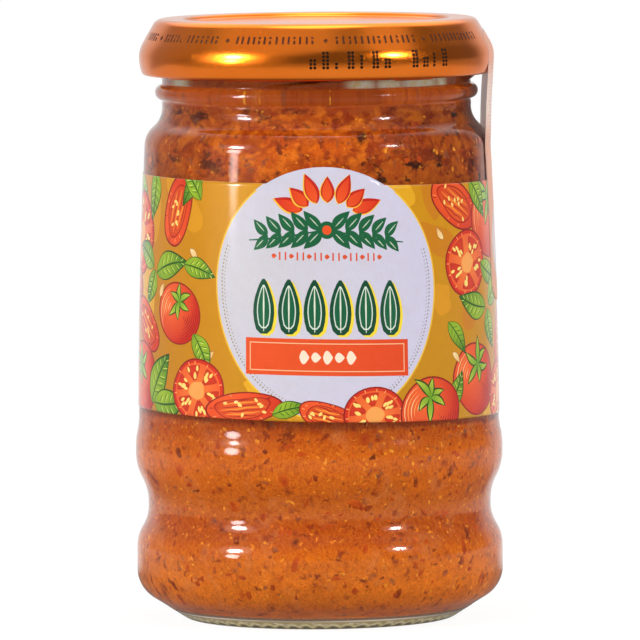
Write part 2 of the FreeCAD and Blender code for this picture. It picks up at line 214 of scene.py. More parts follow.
def arc(start, end, radius, turn, pitch):
    """Points after start on an arc to end. turn is 1 where it bends left and -1 to the right."""
    start, end = np.array(start, float), np.array(end, float)
    chord = end - start
    length = np.hypot(*chord)
    left = np.array([-chord[1], chord[0]]) / length
    centre = start + chord / 2 + left * turn * math.sqrt(max(radius**2 - length**2 / 4, 0))
    a0, a1 = (math.atan2(*(p - centre)[::-1]) for p in (start, end))
    sweep = (a1 - a0) * turn % TURN * turn
    count = max(2, math.ceil(abs(sweep) * radius / pitch), math.ceil(abs(sweep) / 0.25))
    angles = a0 + sweep * np.arange(1, count + 1) / count
    return [(centre[0] + radius * math.cos(a), centre[1] + radius * math.sin(a)) for a in angles]


def line(start, end, pitch):
    start, end = np.array(start, float), np.array(end, float)
    count = max(1, math.ceil(np.hypot(*(end - start)) / pitch))
    return [tuple(start + (end - start) * k / count) for k in range(1, count + 1)]


class Profile(list):
    """Points of a profile, (radius, height), that grows from its last point."""

    def line(self, end, pitch):
        self.extend(line(self[-1], end, pitch))

    def arc(self, end, radius, turn, pitch):
        self.extend(arc(self[-1], end, radius, turn, pitch))

    def ogee(self, end, pitch, level=False):
        """Two equal arcs, upright at both ends or level at both."""
        start = self[-1]
        reach, rise = end[0] - start[0], end[1] - start[1]
        radius = (reach**2 + rise**2) / (4 * abs(rise if level else reach))
        turn = 1 if (rise * reach > 0) == level else -1
        self.arc(((start[0] + end[0]) / 2, (start[1] + end[1]) / 2), radius, turn, pitch)
        self.arc(end, radius, -turn, pitch)


def lathe(profile, count, bend):
    """Points and faces of a profile turned about Z. bend(angles, r, z) moves each ring."""
    verts, rings = [], []
    angles = np.arange(count) * TURN / count
    for r, z in profile:
        if r < 1e-6:
            rings.append([len(verts)])
            verts.append((0.0, 0.0, z))
            continue
        rr, zz = bend(angles, r, z)
        rings.append(list(range(len(verts), len(verts) + count)))
        verts.extend(zip(rr * np.cos(angles), rr * np.sin(angles), zz))
    faces = []
    for a, b in zip(rings, rings[1:]):
        for k in range(count):
            n = (k + 1) % count
            if len(a) == 1:
                faces.append((a[0], b[n], b[k]))
            elif len(b) == 1:
                faces.append((a[k], a[n], b[0]))
            else:
                faces.append((a[k], a[n], b[n], b[k]))
    return verts, faces


def soft_noise(seed, waves=5, low=1, high=9):
    """A smooth random function of one angle, about -1 to 1."""
    draw = random.Random(seed)
    parts = []
    for _ in range(waves):
        parts.append((draw.randint(low, high), draw.uniform(0, 6.28), draw.uniform(0.4, 1)))
    total = sum(p[2] for p in parts)
    return lambda a: sum(w * np.sin(n * a + s) for n, s, w in parts) / total * 1.6


def wall_radius(path):
    """The radius of a wall at any height, from its path."""
    heights, radii = zip(*sorted((z, r) for r, z in path))
    return lambda z: np.interp(z, heights, radii)


def with_alpha(colours):
    return np.hstack([np.asarray(colours), np.ones((len(colours), 1))])


# ---------------------------------------------------------------- the jar's walls

JAR_TOP, NECK, BORE, FILL = 102.7, 26.5, 24.0, 91.3
LIP = 0.9  # rounding of the rim
PANEL_LOW, PANEL_HIGH, PANEL_CURVE = (30.95, 35.0), (29.6, 81.2), 1250.0
COARSE, FINE, SHARP = 1.1, 0.45, 0.3  # spacing of a profile's points


def outer_wall():
    """From the ring that it stands on to the top of the neck."""
    path = Profile([(20.4, 0.0), (21.4, 0.0), (22.4, 0.0)])
    path.arc((23.195, 0.228), 1.5, 1, SHARP)
    path.line((28.865, 3.770), COARSE)
    path.arc((31.45, 8.434), 5.5, 1, FINE)
    path.line((31.45, 12.3), COARSE)
    path.ogee((29.45, 19.4), FINE)
    path.line((29.45, 20.0), FINE)
    path.ogee((31.55, 28.5), FINE)
    path.line((31.55, 29.5), FINE)
    path.ogee(PANEL_LOW, FINE)
    path.arc(PANEL_HIGH, PANEL_CURVE, 1, 2.0)
    path.ogee((NECK, 87.9), FINE)
    path.line((NECK, 89.1), FINE)
    bead = (1.35**2 + 1.2**2) / (2 * 1.2)
    path.arc((27.7, 90.45), bead, 1, SHARP)
    path.arc((NECK, 91.8), bead, 1, SHARP)
    path.line((NECK, 98.0), SHARP)
    path.line((NECK, JAR_TOP - LIP), COARSE)
    path.arc((NECK - LIP, JAR_TOP), LIP, 1, SHARP)
    return path


def inner_wall():
    """From the rim down to the axis."""
    path = Profile([(BORE + LIP, JAR_TOP)])
    path.arc((BORE, JAR_TOP - LIP), LIP, 1, SHARP)
    path.line((BORE, 86.3), COARSE)
    path.ogee((27.2, 79.6), FINE)
    path.arc((28.55, 35.0), PANEL_CURVE, -1, 2.5)
    path.ogee((29.15, 29.5), COARSE)
    path.line((29.15, 28.5), COARSE)
    path.ogee((27.05, 20.0), COARSE)
    path.line((27.05, 19.4), COARSE)
    path.ogee((29.05, 12.3), COARSE)
    path.arc((21.75, 5.0), 7.3, -1, COARSE)
    path.line((0.0, 5.0), 3.0)
    return path


THREADS = [math.radians(12 + 90 * k) for k in range(4)]
THREAD_MIDDLE, THREAD_RISE = 94.6, math.tan(math.radians(6))
MOULD_LINE = 88.3  # height of the fine ridge where the mould parts
mould = soft_noise(3, 6, 1, 6)
ripple = soft_noise(4, 6, 2, 11)


def turned(angles, middle):
    """Angles from a middle one, -pi to pi."""
    return (angles - middle + math.pi) % TURN - math.pi


def glass_bend(angles, r, z):
    """The screw thread, the faint waves of moulded glass and the ridge where the mould parts."""
    out = np.full(len(angles), float(r))
    if r > 25 and 91.8 < z < 98.1:
        for middle in THREADS:
            turn = turned(angles, middle)
            off = np.abs(z - THREAD_MIDDLE - NECK * np.sin(turn) * THREAD_RISE)
            fade = np.clip((math.radians(32) - np.abs(turn)) / math.radians(6), 0, 1)
            out += 0.9 * np.clip((1.15 - off) / 0.55, 0, 1) * fade**0.5
    if z > 4 and r > 24.1:
        out += 0.018 * (mould(angles + z * 0.011) + ripple(angles + 1.7 + z * 0.045))
    if r > 25 and abs(z - MOULD_LINE) < 0.01:
        out += 0.05
    return out, np.full(len(angles), float(z))


glass = Look(
    "clear_glass",
    Roughness=0.0,
    IOR=1.45,
    Transmission_Weight=1.0,
    Specular_Tint=(0.42, 0.42, 0.42, 1),
    Base_Color=(*linear((250, 253, 250)), 1),
)
glass.bump(glass.noise(0.10, 2, 0.5), 0.05, 0.35)
glass.clear_to_lamps((250, 250, 248))

push_up = arc((0.0, 1.8), (20.4, 0.0), (20.4**2 + 1.8**2) / 3.6, -1, 2.0)[:-1]
verts, faces = lathe([(0.0, 1.8)] + push_up + outer_wall() + inner_wall(), 216, glass_bend)
glass_piece = make_piece("glass_body", verts, faces, glass, "glass")
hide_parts("glass_jar")

# Radii of the foot band: painted scallops from FOOT_IN, a painted glint line from FOOT_LINE, the
# heel's painted shadow from FOOT_SHADE to FOOT_OUT
FOOT_IN, FOOT_LINE, FOOT_SHADE, FOOT_OUT = 22.75, 25.15, 25.7, 26.3
FOOT_RINGS, FOOT_AROUND, SCALLOPS = 19, 1152, 64


def foot_height(r):
    """The cone that leads from the standing ring to the heel."""
    return np.interp(r, (22.4, 22.7, 23.195, 28.865), (0.0, 0.03, 0.228, 3.770))


def foot_shades(r, turn, wave):
    """The colours of one ring of the foot, all painted light and shade: scallops with lit lobes,
    shaded pits and glints, then a pale painted glint line, then the heel's painted shadow.
    """
    dark, olive, pale, white, shadow = (
        np.array(linear(c))
        for c in ((52, 44, 26), (176, 158, 104), (240, 230, 176), (255, 252, 246), (104, 44, 30))
    )
    if r >= FOOT_SHADE:
        return np.tile(shadow, (len(turn), 1))
    # a painted glint line round the heel
    if r > FOOT_LINE:
        return white * (0.75 + 0.25 * np.sin(turn * 5 + 1.0))[:, None]
    share = (r - FOOT_IN) / 2.3
    arch = 0.34 + 0.36 * np.abs(np.cos(wave / 2 + 0.4 * np.sin(turn * 7)))
    # pale lit lobes and dark shaded pits: painted light and shade of the scallops
    lit_lobe = np.clip(1.3 - np.abs(share - arch) / 0.20, 0, 1)
    shaded_pit = np.clip(1.5 - np.abs(share - arch + 0.36) / 0.20, 0, 1)
    shaded_pit *= np.clip(0.75 + 0.6 * np.cos(wave), 0, 1)
    tone = olive + (pale - olive) * lit_lobe[:, None]
    tone += (dark - tone) * (0.95 * shaded_pit)[:, None]
    # painted glints on the scallops
    tone[(np.sin(wave * 0.37 + 5 * r) > 0.93) & (0.5 < share < 0.9)] = white
    return tone


def foot_band():
    """The moulded ring of scallops round the foot, as a thin band that follows the cone, its
    colours painted light and shade.
    """
    across = np.linspace(FOOT_IN, FOOT_OUT, FOOT_RINGS)
    turn = np.arange(FOOT_AROUND) * TURN / FOOT_AROUND
    wave = turn * SCALLOPS
    shades = [foot_shades(r, turn, wave) for r in across]
    verts, faces, paint = [], [], []
    for lift, lowest in ((0.05, 0.006), (-0.04, 0.02)):
        for number, r in enumerate(across):
            relief = 0.02 if 0 < number < 11 and lift > 0 else 0.0
            rise = lift + relief * np.cos(wave)
            rr = r + 0.5 * rise
            zz = np.maximum(foot_height(r) - 0.8 * rise, lowest)
            verts.extend(zip(rr * np.cos(turn), rr * np.sin(turn), zz))

    def patch(*corners):
        """A face from corners, each (0 outside or 1 inside, ring, step round)."""
        for side, ring, k in corners:
            paint.append(shades[ring][k])
        spots = ((side * FOOT_RINGS + ring) * FOOT_AROUND + k for side, ring, k in corners)
        faces.append(tuple(spots))

    last = FOOT_RINGS - 1
    for k in range(FOOT_AROUND):
        n = (k + 1) % FOOT_AROUND
        for i in range(last):
            patch((0, i, n), (0, i + 1, n), (0, i + 1, k), (0, i, k))
            patch((1, i, k), (1, i + 1, k), (1, i + 1, n), (1, i, n))
        patch((0, 0, k), (0, 0, n), (1, 0, n), (1, 0, k))
        patch((1, last, k), (1, last, n), (0, last, n), (0, last, k))
    return verts, faces, with_alpha(paint)


verts, faces, paint = foot_band()
foot = Look("knurled_glass", Roughness=0.18, IOR=1.5)
# the print attribute here holds the foot's painted light and shade
ink = foot.over(foot.attribute("print"), (214, 202, 160), foot.noise(2.5, 3), 0.5)
foot.feed("Base Color", ink)
foot.bump(foot.noise(3.0, 2), 0.03, 0.4)
make_piece("glass_foot_band", verts, faces, foot, "glass", paint=paint)

# ---------------------------------------------------------------- pesto

REACH = 0.22  # how far the filling goes into the wall, so that no air gap shows
FLOOR = 5.01  # just above the jar's floor
top_edge = soft_noise(21, 7, 2, 12)
lumps = [soft_noise(30 + k, 6, 3, 26) for k in range(6)]
# Where the glass over the filling stays pale, painted pale for the light through clear glass with
# air behind it, and for thin real oil: (turn to the right from the front, half width)
CLEAR_SPOTS = (
    (-1.15, 0.12),
    (0.31, 0.10),
    (0.52, 0.10),
    (0.78, 0.17),
    (0.99, 0.06),
    (2.4, 0.4),
    (-2.2, 0.3),
)


def fill_height(angles):
    """The uneven edge of the filling against the glass, high where it is smeared."""
    return FILL + 2.2 + 0.5 * top_edge(angles)


def pale_oil_and_light_paint(spots, faces):
    """Red is the share of pale oil and air at the glass, in a few places along the top edge:
    partly real oil, partly painted light where air lies behind clear glass.
    """
    turn = turned(np.arctan2(spots[:, 1], spots[:, 0]), -math.pi / 2)
    share = np.zeros(len(spots))
    for middle, wide in CLEAR_SPOTS:
        share = np.maximum(share, np.exp(-(((turn - middle) / wide) ** 4)))
    share *= np.clip((spots[:, 2] - 91.5) / 0.5, 0, 1)
    corners = np.concatenate([np.array(f) for f in faces])
    paint = np.zeros((len(corners), 3))
    paint[:, 0] = share[corners]
    return with_alpha(paint)


def pesto_profile():
    top_radii = (0.0, 4.0, 8.0, 12.0, 15.0, 18.0, 20.0, 21.5, 22.6, 23.4, 23.9, 24.15)
    top = [(r, FILL) for r in top_radii]
    shaft = [(BORE + REACH, FILL + k) for k in (0.9, 0.6, 0.3, 0.0, -0.4)]
    walls = [p for p in inner_wall() if p[1] < FILL - 1.0]
    walls = [(r + REACH if z > FLOOR else r, z if z > FLOOR else z - REACH) for r, z in walls]
    return top + shaft + walls


def pesto_bend(angles, r, z):
    """The lumpy top, its smeared edge, and small swells of the side."""
    rr = np.full(len(angles), float(r))
    zz = np.full(len(angles), float(z))
    if z > FILL - 0.5:
        edge = fill_height(angles)
        share = np.clip((r - 20.0) / 4.2, 0, 1) ** 2
        zz = FILL - 0.5 + share * (edge - FILL + 0.5) + 0.35 * lumps[int(r) % 6](angles + r)
        if r > 24.2:
            zz = FILL + (edge - FILL) * (z - FILL + 0.4) / 1.3
        elif r > 24.1:
            zz = edge + 0.02
    if z < FILL - 1.2 and r > 22:
        rr += 0.05 * lumps[int(z * 1.3) % 6](angles + z)
    return rr, zz


# The colour of the paste by its height over 100 mm, with painted shade and light in bands where
# the bulges and waists of the glass darken and lighten it
TONES = (
    (0.03, (238, 126, 40)),
    (0.08, (240, 122, 26)),
    (0.115, (214, 106, 14)),
    (0.135, (200, 88, 4)),
    (0.152, (160, 50, 0)),
    (0.184, (164, 54, 0)),
    (0.193, (186, 92, 30)),
    (0.215, (190, 98, 36)),
    (0.24, (204, 98, 14)),
    (0.30, (206, 94, 8)),
    (0.35, (168, 46, 0)),
    (0.40, (184, 66, 4)),
    (0.76, (206, 86, 8)),
    (0.84, (190, 72, 6)),
    (0.88, (150, 56, 12)),
    (0.93, (208, 90, 26)),
)
# Soft specks everywhere: (a millimetre, full to, gone at, share, colour)
SPECKS = (
    (0.30, 0.08, 0.30, 0.80, (128, 38, 12)),
    (0.37, 0.07, 0.26, 0.75, (112, 66, 50)),
    (0.50, 0.08, 0.27, 0.85, (112, 30, 8)),
    (1.15, 0.06, 0.22, 0.40, (132, 44, 14)),
    (0.80, 0.05, 0.18, 0.45, (100, 54, 38)),
    (0.62, 0.06, 0.20, 0.70, (250, 170, 40)),
)


def paste(look):
    """The colour of the pesto: grainy orange below, streaked with dark red in the neck."""

    def patches(noise, low, high):
        return look.steps(look.noise(*noise[:3], **noise[3]), (low, 0.0), (high, 1.0))

    zones = look.math("DIVIDE", look.axis("Z"), 100.0)
    tone = look.steps(zones, *TONES)
    clouds = patches((0.30, 4, 0.62, {"warp": 0.5}), 0.36, 0.66)
    base = look.mix(clouds, look.mix(0.5, tone, (168, 66, 12)), tone)

    # grain, calmer in the neck
    calm = look.steps(zones, (0.60, 1.0), (0.72, 0.62), (0.862, 0.62), (0.885, 0.25))
    grain = patches((2.1, 4, 0.7, {"stretch": (1, 1, 0.6)}), 0.32, 0.70)
    base = look.over(base, (236, 136, 24), grain, calm, 0.50)
    fine = look.steps(look.noise(3.2, 3, 0.7), (0.36, 1.0), (0.52, 0.0))
    base = look.over(base, (138, 46, 6), fine, calm, 0.42)
    crumb = patches((0.85, 4, 0.7, {"warp": 1.4}), 0.55, 0.67)
    base = look.over(base, (152, 48, 10), crumb, 0.52)

    # light, red and black patches of the neck, the dark ones stronger to the right
    upper = look.steps(zones, (0.60, 0.0), (0.72, 1.0), (0.876, 1.0), (0.892, 0.25))
    x = look.axis("X")
    right = look.steps(look.math("MULTIPLY_ADD", x, 0.016, 0.5), (0.40, 0.72), (0.85, 1.0))
    lit = patches((0.42, 4, 0.62, {"stretch": (1, 1, 1.2), "warp": 0.25}), 0.46, 0.62)
    base = look.over(base, (234, 124, 22), lit, upper, 0.62)
    streak = patches((0.27, 5, 0.60, {"stretch": (1, 1, 1.25), "warp": 0.3}), 0.49, 0.60)
    base = look.over(base, (132, 36, 4), streak, right, upper, 0.85)
    soot = patches((0.24, 5, 0.62, {"stretch": (1, 1, 1.35), "warp": 0.3}), 0.555, 0.63)
    base = look.over(base, (44, 14, 6), soot, right, upper)

    # painted shade: darker round both sides of the shoulder
    side_shade_levels = ((0.12, 196), (0.36, 255), (0.56, 252), (0.76, 206))
    across = look.math("MULTIPLY_ADD", x, 0.0145, 0.5)
    side = look.steps(across, *((position, (level,) * 3) for position, level in side_shade_levels))
    base = look.over(base, side, upper, blend="MULTIPLY")

    # thin pale oil against the glass below
    oil = patches((0.17, 3, 0.6, {"warp": 0.6}), 0.55, 0.70)
    base = look.over(base, (204, 134, 84), oil, look.math("SUBTRACT", 1.0, upper), 0.26)

    for scale, near, far, share, colour in SPECKS:
        spot = look.steps(look.cells(scale, 1.2), (near, 1.0), (far, 0.0))
        some = patches((0.21 + 0.1 * scale, 2, 0.5, {}), 0.42, 0.54)
        base = look.over(base, colour, spot, some, share)
    return base


pesto = Look("red_pesto", Roughness=0.5, Specular_IOR_Level=0.1)
pale_oil_and_light = pesto.add("ShaderNodeSeparateColor")
pesto.link(pesto.attribute("print"), pale_oil_and_light.inputs[0])
# the filling painted pale where the glass is clear: painted light, with thin real oil
pale = pesto.steps(pesto.noise(0.7, 3, 0.6), (0.35, (244, 214, 156)), (0.65, (255, 248, 228)))
pesto.feed("Base Color", pesto.mix(pale_oil_and_light.outputs["Red"], paste(pesto), pale))
pesto.bump(pesto.noise(1.6, 5, 0.65), 0.12, 0.7)

verts, faces = lathe(pesto_profile(), 288, pesto_bend)
paint = pale_oil_and_light_paint(np.array(verts), faces)
pesto_piece = make_piece("pesto_filling", verts, faces, pesto, "pesto", paint=paint)
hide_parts("pesto")

bore_at = wall_radius([p for p in inner_wall() if p[1] > 5.0 and p[0] > 20])
PROUD = 0.07  # how far a flake stands out of the filling
SAUCE_BELOW, SAUCE_ABOVE = (204, 96, 16), (186, 78, 12)


def flake_ball():
    """Points and triangles of a small ball."""
    ball = bmesh.new()
    bmesh.ops.create_icosphere(ball, subdivisions=2, radius=1)
    ball.verts.ensure_lookup_table()
    shape = np.array([v.co[:] for v in ball.verts])
    trios = [tuple(v.index for v in f.verts) for f in ball.faces]
    ball.free()
    return shape, trios


def flake_places(draw, count, spans, heaps):
    """(angle, height) of each flake: scattered over the spans, then in the heaps."""
    places = []
    for _ in range(count):
        low, high, _ = draw.choices(spans, [s[2] for s in spans])[0]
        places.append((draw.uniform(0, TURN), draw.uniform(low, high)))
    for turn, height, wide, tall, number in heaps:
        for _ in range(number):
            a = math.radians(turn - 90 + draw.gauss(0, wide))
            places.append((a, min(max(height + draw.gauss(0, tall), 7), 85)))
    return places


def flakes(seed, count, neck, size, flat, colours, name, ragged, soft, heaps=()):
    """Uneven flat bits against the glass. neck is the (low, high, share) of those in the neck.
    soft is the share of a flake that keeps its own colour, before it fades into the sauce."""
    draw = random.Random(seed)
    shape, trios = flake_ball()
    fade = (np.hypot(shape[:, 0], shape[:, 1]) - soft) / (1.02 - soft)
    rim = np.clip(fade, 0, 1)[:, None] ** 1.2
    dark, light = (np.array(linear(c)) for c in colours)
    verts, faces, tints = [], [], []
    for a, z in flake_places(draw, count, [neck, LOWER], heaps):
        long_way = draw.uniform(*size) * draw.choice((0.6, 0.8, 1.0, 1.0, 1.3))
        wide = long_way * draw.uniform(0.45, 0.95)
        deep = max(0.18, wide * flat)
        spin = draw.uniform(0, math.pi)
        bulge = 1.0
        for _ in range(4):
            way = np.array([draw.gauss(0, 1), draw.gauss(0, 1), draw.gauss(0, 1)]) * 1.7
            bulge = bulge + ragged / 2.2 * np.sin(shape @ way + draw.uniform(0, 6.3))
        body = shape * bulge[:, None] * np.array([long_way / 2, wide / 2, deep / 2])
        c, s = math.cos(spin), math.sin(spin)
        across = body[:, 0] * c - body[:, 1] * s
        zz = z + body[:, 0] * s + body[:, 1] * c
        out = body[:, 2]
        r = bore_at(zz) + REACH + PROUD - float(out.max()) + out
        aa = a + across / np.maximum(r, 1)
        base = len(verts)
        verts.extend(zip(r * np.cos(aa), r * np.sin(aa), zz))
        faces.extend((base + i, base + j, base + k) for i, j, k in trios)
        blend = draw.random()
        sauce = np.array(linear(SAUCE_ABOVE if z > 60 else SAUCE_BELOW))
        tints.append((dark * (1 - blend) + light * blend) * (1 - rim) + sauce * rim)
    paint = with_alpha(np.vstack(tints)[np.array(faces).ravel()])
    make_piece(name, verts, faces, bit, "pesto", paint=paint)


bit = Look("pesto_bits", Roughness=0.5, Specular_IOR_Level=0.1)
mottle = bit.steps(bit.noise(1.8, 4, 0.65), (0.3, 0.0), (0.7, 1.0))
bit.feed("Base Color", bit.over(bit.attribute("print"), (204, 92, 16), mottle, 0.35))
bit.bump(bit.noise(2.5, 3), 0.05, 0.5)

LOWER, NECK_ZONE = (6.5, 35.2, 2.2), (77.5, 85.2, 0.5)
# (turn to the right from the front, height, spread in degrees, spread in height, count)
DARK_HEAPS = (
    (31, 82.8, 5.0, 1.1, 40),
    (18, 80.6, 2.5, 1.0, 8),
    (-12, 82.6, 1.6, 0.9, 8),
    (2, 81.4, 1.5, 0.6, 5),
    (44, 84.0, 4.0, 1.5, 12),
    (140, 82.5, 6.0, 1.4, 20),
    (-150, 83.0, 6.0, 1.4, 16),
    (-11, 32.8, 1.2, 0.6, 7),
    (-18, 31.5, 1.0, 1.2, 5),
    (-8, 15.6, 0.8, 0.9, 5),
)
SKIN, HERB = ((44, 14, 8), (128, 38, 14)), ((92, 52, 40), (134, 78, 52))
TOMATO, NUT = ((132, 32, 8), (180, 58, 12)), ((236, 146, 30), (246, 176, 56))
PULP = ((206, 96, 18), (226, 124, 26))
flakes(1, 120, NECK_ZONE, (1.2, 3.0), 0.25, SKIN, "pesto_skins", 0.6, 0.35, DARK_HEAPS)
flakes(2, 90, NECK_ZONE, (0.9, 2.0), 0.3, HERB, "pesto_herb_flecks", 0.6, 0.1)
flakes(3, 360, (77.5, 84.6, 0.2), (0.8, 2.8), 0.3, TOMATO, "pesto_tomato_bits", 0.55, 0.15)
flakes(4, 400, (77.5, 82.4, 0.15), (0.4, 1.2), 0.5, NUT, "pesto_nut_crumbs", 0.5, 0.2)
flakes(5, 320, (77.5, 84.0, 0.15), (0.6, 1.8), 0.4, PULP, "pesto_pulp", 0.5, 0.2)

# ---------------------------------------------------------------- cap

CAP_TOP = 103.0
SHEET = 0.28  # thickness of the pressed sheet
SLOPE_LOW, SLOPE_HIGH = (29.73, 98.9), (27.883, 102.1)
CAP_GIRTH, SKIRT_END = (30.4, 96.4), (30.008, 93.928)


def cap_mesh():
    """The pressed sheet from the axis to its rolled edge, and back along its inside."""
    path = Profile([(0.0, 102.3)])
    path.line((22.0, 102.3), 2.2)
    path.ogee((23.2, CAP_TOP), 0.2, level=True)
    path.line((26.324, CAP_TOP), 0.8)
    path.arc(SLOPE_HIGH, 1.8, -1, 0.2)
    path.line(SLOPE_LOW, 0.5)
    path.arc(CAP_GIRTH, 5.0, -1, 0.3)
    path.arc(SKIRT_END, 8.0, -1, 0.3)
    for k in range(1, 15):
        a = math.radians(-18 - 252 * k / 14)
        path.append((29.295 + 0.75 * math.cos(a), 94.160 + 0.75 * math.sin(a)))
    points = np.array(path)
    ahead = np.vstack([points[1:], points[-1:]]) - np.vstack([points[:1], points[:-1]])
    ahead /= np.maximum(np.hypot(*ahead.T), 1e-9)[:, None]
    inside = points + np.stack([ahead[:, 1], -ahead[:, 0]], axis=1) * SHEET
    inside[0, 0] = 0
    return path + [tuple(p) for p in inside[::-1]]


press = soft_noise(11, 6, 2, 14)
LUGS = [middle + math.radians(24) for middle in THREADS]


def cap_bend(angles, r, z):
    """The small unevenness of pressed tinplate, and four slight pulls where the lugs are."""
    rr = np.full(len(angles), float(r))
    if r > 27.5 and 93 < z < 102.5:
        rr += 0.03 * press(angles + z * 0.02)
    if r > 28 and z < 96.0:
        share = min(1, (96.0 - z) / 2.0)
        for lug in LUGS:
            rr -= 0.16 * share * np.exp(-((turned(angles, lug) / math.radians(7)) ** 2))
    return np.minimum(rr, 30.43), np.full(len(angles), min(float(z), CAP_TOP))


lacquer = Look(
    "gold_lacquer",
    Metallic=1.0,
    Roughness=0.2,
    Specular_Tint=(0.86, 0.80, 0.74, 1),
    Coat_Weight=0.45,
    Coat_IOR=1.4,
    Coat_Roughness=0.12,
)
sheen = lacquer.steps(lacquer.noise(0.05, 2, 0.5), (0.35, 0.0), (0.65, 1.0))
gold = lacquer.mix(sheen, (240, 118, 18), (246, 128, 26))
specks = lacquer.steps(lacquer.noise(3.0, 2, 0.5), (0.66, 0.0), (0.74, 1.0))
lacquer.feed("Base Color", lacquer.over(gold, (170, 70, 10), specks, 0.2))
brushed = lacquer.steps(lacquer.noise(0.6, 4, 0.6), (0.2, 0.17), (0.8, 0.24))
lacquer.feed("Roughness", brushed)
lacquer.bump(lacquer.noise(0.8, 3, 0.5), 0.02, 0.25)

verts, faces = lathe(cap_mesh(), 288, cap_bend)
cap_piece = make_piece("cap_shell", verts, faces, lacquer, "cap")
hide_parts("twist_cap")


def cap_lugs():
    """Four tabs turned in under the thread's starts."""
    verts, faces, steps = [], [], 10
    top = THREAD_MIDDLE + NECK * math.sin(math.radians(24 - 7.5)) * THREAD_RISE - 1.2 - 0.1
    for lug in LUGS:
        base = len(verts)
        for k in range(steps + 1):
            a = lug + math.radians(15) * (k / steps - 0.5)
            pinch = 1 - 0.35 * (abs(k / steps - 0.5) * 2) ** 4
            inner = 28.6 - 1.7 * pinch
            section = ((28.6, 0.9), (28.7, 0.0), (inner + 0.15, 0.0))
            section += ((inner, 0.15), (inner, 0.75), (inner + 0.15, 0.9))
            verts.extend((r * math.cos(a), r * math.sin(a), top - down) for r, down in section)
        for k in range(base, base + 6 * steps, 6):
            for j in range(6):
                n = (j + 1) % 6
                faces.append((k + j, k + n, k + 6 + n, k + 6 + j))
        faces.append(tuple(base + j for j in range(5, -1, -1)))
        faces.append(tuple(base + 6 * steps + j for j in range(6)))
    return verts, faces


make_piece("cap_lugs", *cap_lugs(), lacquer, "cap")

# ---------------------------------------------------------------- flat artwork turned into skins


def turned_about(x, y, turn, px, py):
    """Points px, py turned and then moved to x, y."""
    c, s = math.cos(turn), math.sin(turn)
    return np.stack([x + px * c - py * s, y + px * s + py * c], axis=1)


def smooth_loop(points):
    """Rounds a closed outline by cutting its corners."""
    points = np.asarray(points, float)
    after = np.roll(points, -1, axis=0)
    cut = [points * 0.75 + after * 0.25, points * 0.25 + after * 0.75]
    return np.stack(cut, axis=1).reshape(-1, 2)


def ellipse(x, y, rx, ry, turn, count):
    t = np.arange(count) * TURN / count
    return turned_about(x, y, turn, rx * np.cos(t), ry * np.sin(t))


def uneven(x, y, rx, ry, turn, amount, seed, count=36):
    """A rounded outline like an ellipse's, but lumpy."""
    t = np.arange(count) * TURN / count
    swell = 1 + amount * soft_noise(seed, 4, 2, 5)(t)
    return turned_about(x, y, turn, rx * np.cos(t) * swell, ry * np.sin(t) * swell)


def oval(x, y, rx, ry, angles):
    """Points on an upright oval at the given angles."""
    return [(x + rx * math.cos(t), y + ry * math.sin(t)) for t in angles]


def rounded(x0, y0, x1, y1, corner, count=5):
    out = []
    for quarter, (x, y) in enumerate(((x1, y1), (x0, y1), (x0, y0), (x1, y0))):
        cx = x + (corner if x == x0 else -corner)
        cy = y + (corner if y == y0 else -corner)
        turns = [math.radians(90 * quarter + 90 * k / count) for k in range(count + 1)]
        out += oval(cx, cy, corner, corner, turns)
    return np.array(out)


def stroke(points, width, taper=0.0):
    """An outline round a line through points. It narrows to both ends by the share taper."""
    points = np.asarray(points, float)
    ahead = np.gradient(points, axis=0)
    ahead /= np.maximum(np.hypot(*ahead.T), 1e-9)[:, None]
    side = np.stack([-ahead[:, 1], ahead[:, 0]], axis=1)
    t = np.linspace(0, 1, len(points))
    half = width / 2 * (1 - taper * np.abs(2 * t - 1) ** 1.5)
    return np.vstack([points + side * half[:, None], (points - side * half[:, None])[::-1]])


def curve(start, end, sag, count=8):
    """Points on a bow from start to end that stands off the chord by sag."""
    start, end = np.array(start, float), np.array(end, float)
    t = np.linspace(0, 1, count)[:, None]
    chord = end - start
    side = np.array([-chord[1], chord[0]]) / max(np.hypot(*chord), 1e-9)
    return start + chord * t + side * sag * 4 * t * (1 - t)


def leaf_outline(x, y, length, width, turn, bow=0.0, count=14):
    """A leaf that grows from x, y towards turn."""
    t = np.linspace(0, 1, count)
    half = np.sin(math.pi * t**0.85) ** 0.9 * (1 - 0.25 * t) * width / 2
    mid = bow * 4 * t * (1 - t)
    px = np.concatenate([t * length, (t * length)[::-1][1:-1]])
    py = np.concatenate([mid + half, (mid - half)[::-1][1:-1]])
    return turned_about(x, y, turn, px, py)


def densely(corners, pitch=0.9):
    """A loop with points along its sides, so that it follows the round of the jar."""
    corners = [tuple(c) for c in corners]
    out = []
    for here, there in zip(corners, corners[1:] + corners[:1]):
        out += [here] + line(here, there, pitch)[:-1]
    return np.array(out)


class Art:
    """A drawing: filled outlines, later ones on top, each with a colour or a shade of two."""

    def __init__(self):
        self.shapes = []

    def fill(self, outline, colour, edge=None, light=None, reach=1.0):
        """With edge, the colour turns to it away from the point light, over the length reach."""
        edge = linear(edge) if edge else None
        self.shapes.append((np.asarray(outline, float), linear(colour), edge, light, reach))

    def shade(self, number, points):
        _, colour, edge, light, reach = self.shapes[number]
        if edge is None:
            return np.tile(np.array(colour), (len(points), 1))
        far = np.hypot(points[:, 0] - light[0], points[:, 1] - light[1]) / reach
        share = np.clip(far, 0, 1)[:, None] ** 1.3
        return np.array(colour) * (1 - share) + np.array(edge) * share


def inside(outline, points):
    """Which points lie inside a closed outline."""
    x, y = points[:, 0], points[:, 1]
    hit = np.zeros(len(points), bool)
    for (a, b), (c, d) in zip(outline, np.roll(outline, -1, axis=0)):
        if b != d:
            hit ^= ((b > y) != (d > y)) & (x < (c - a) * (y - b) / (d - b) + a)
    return hit


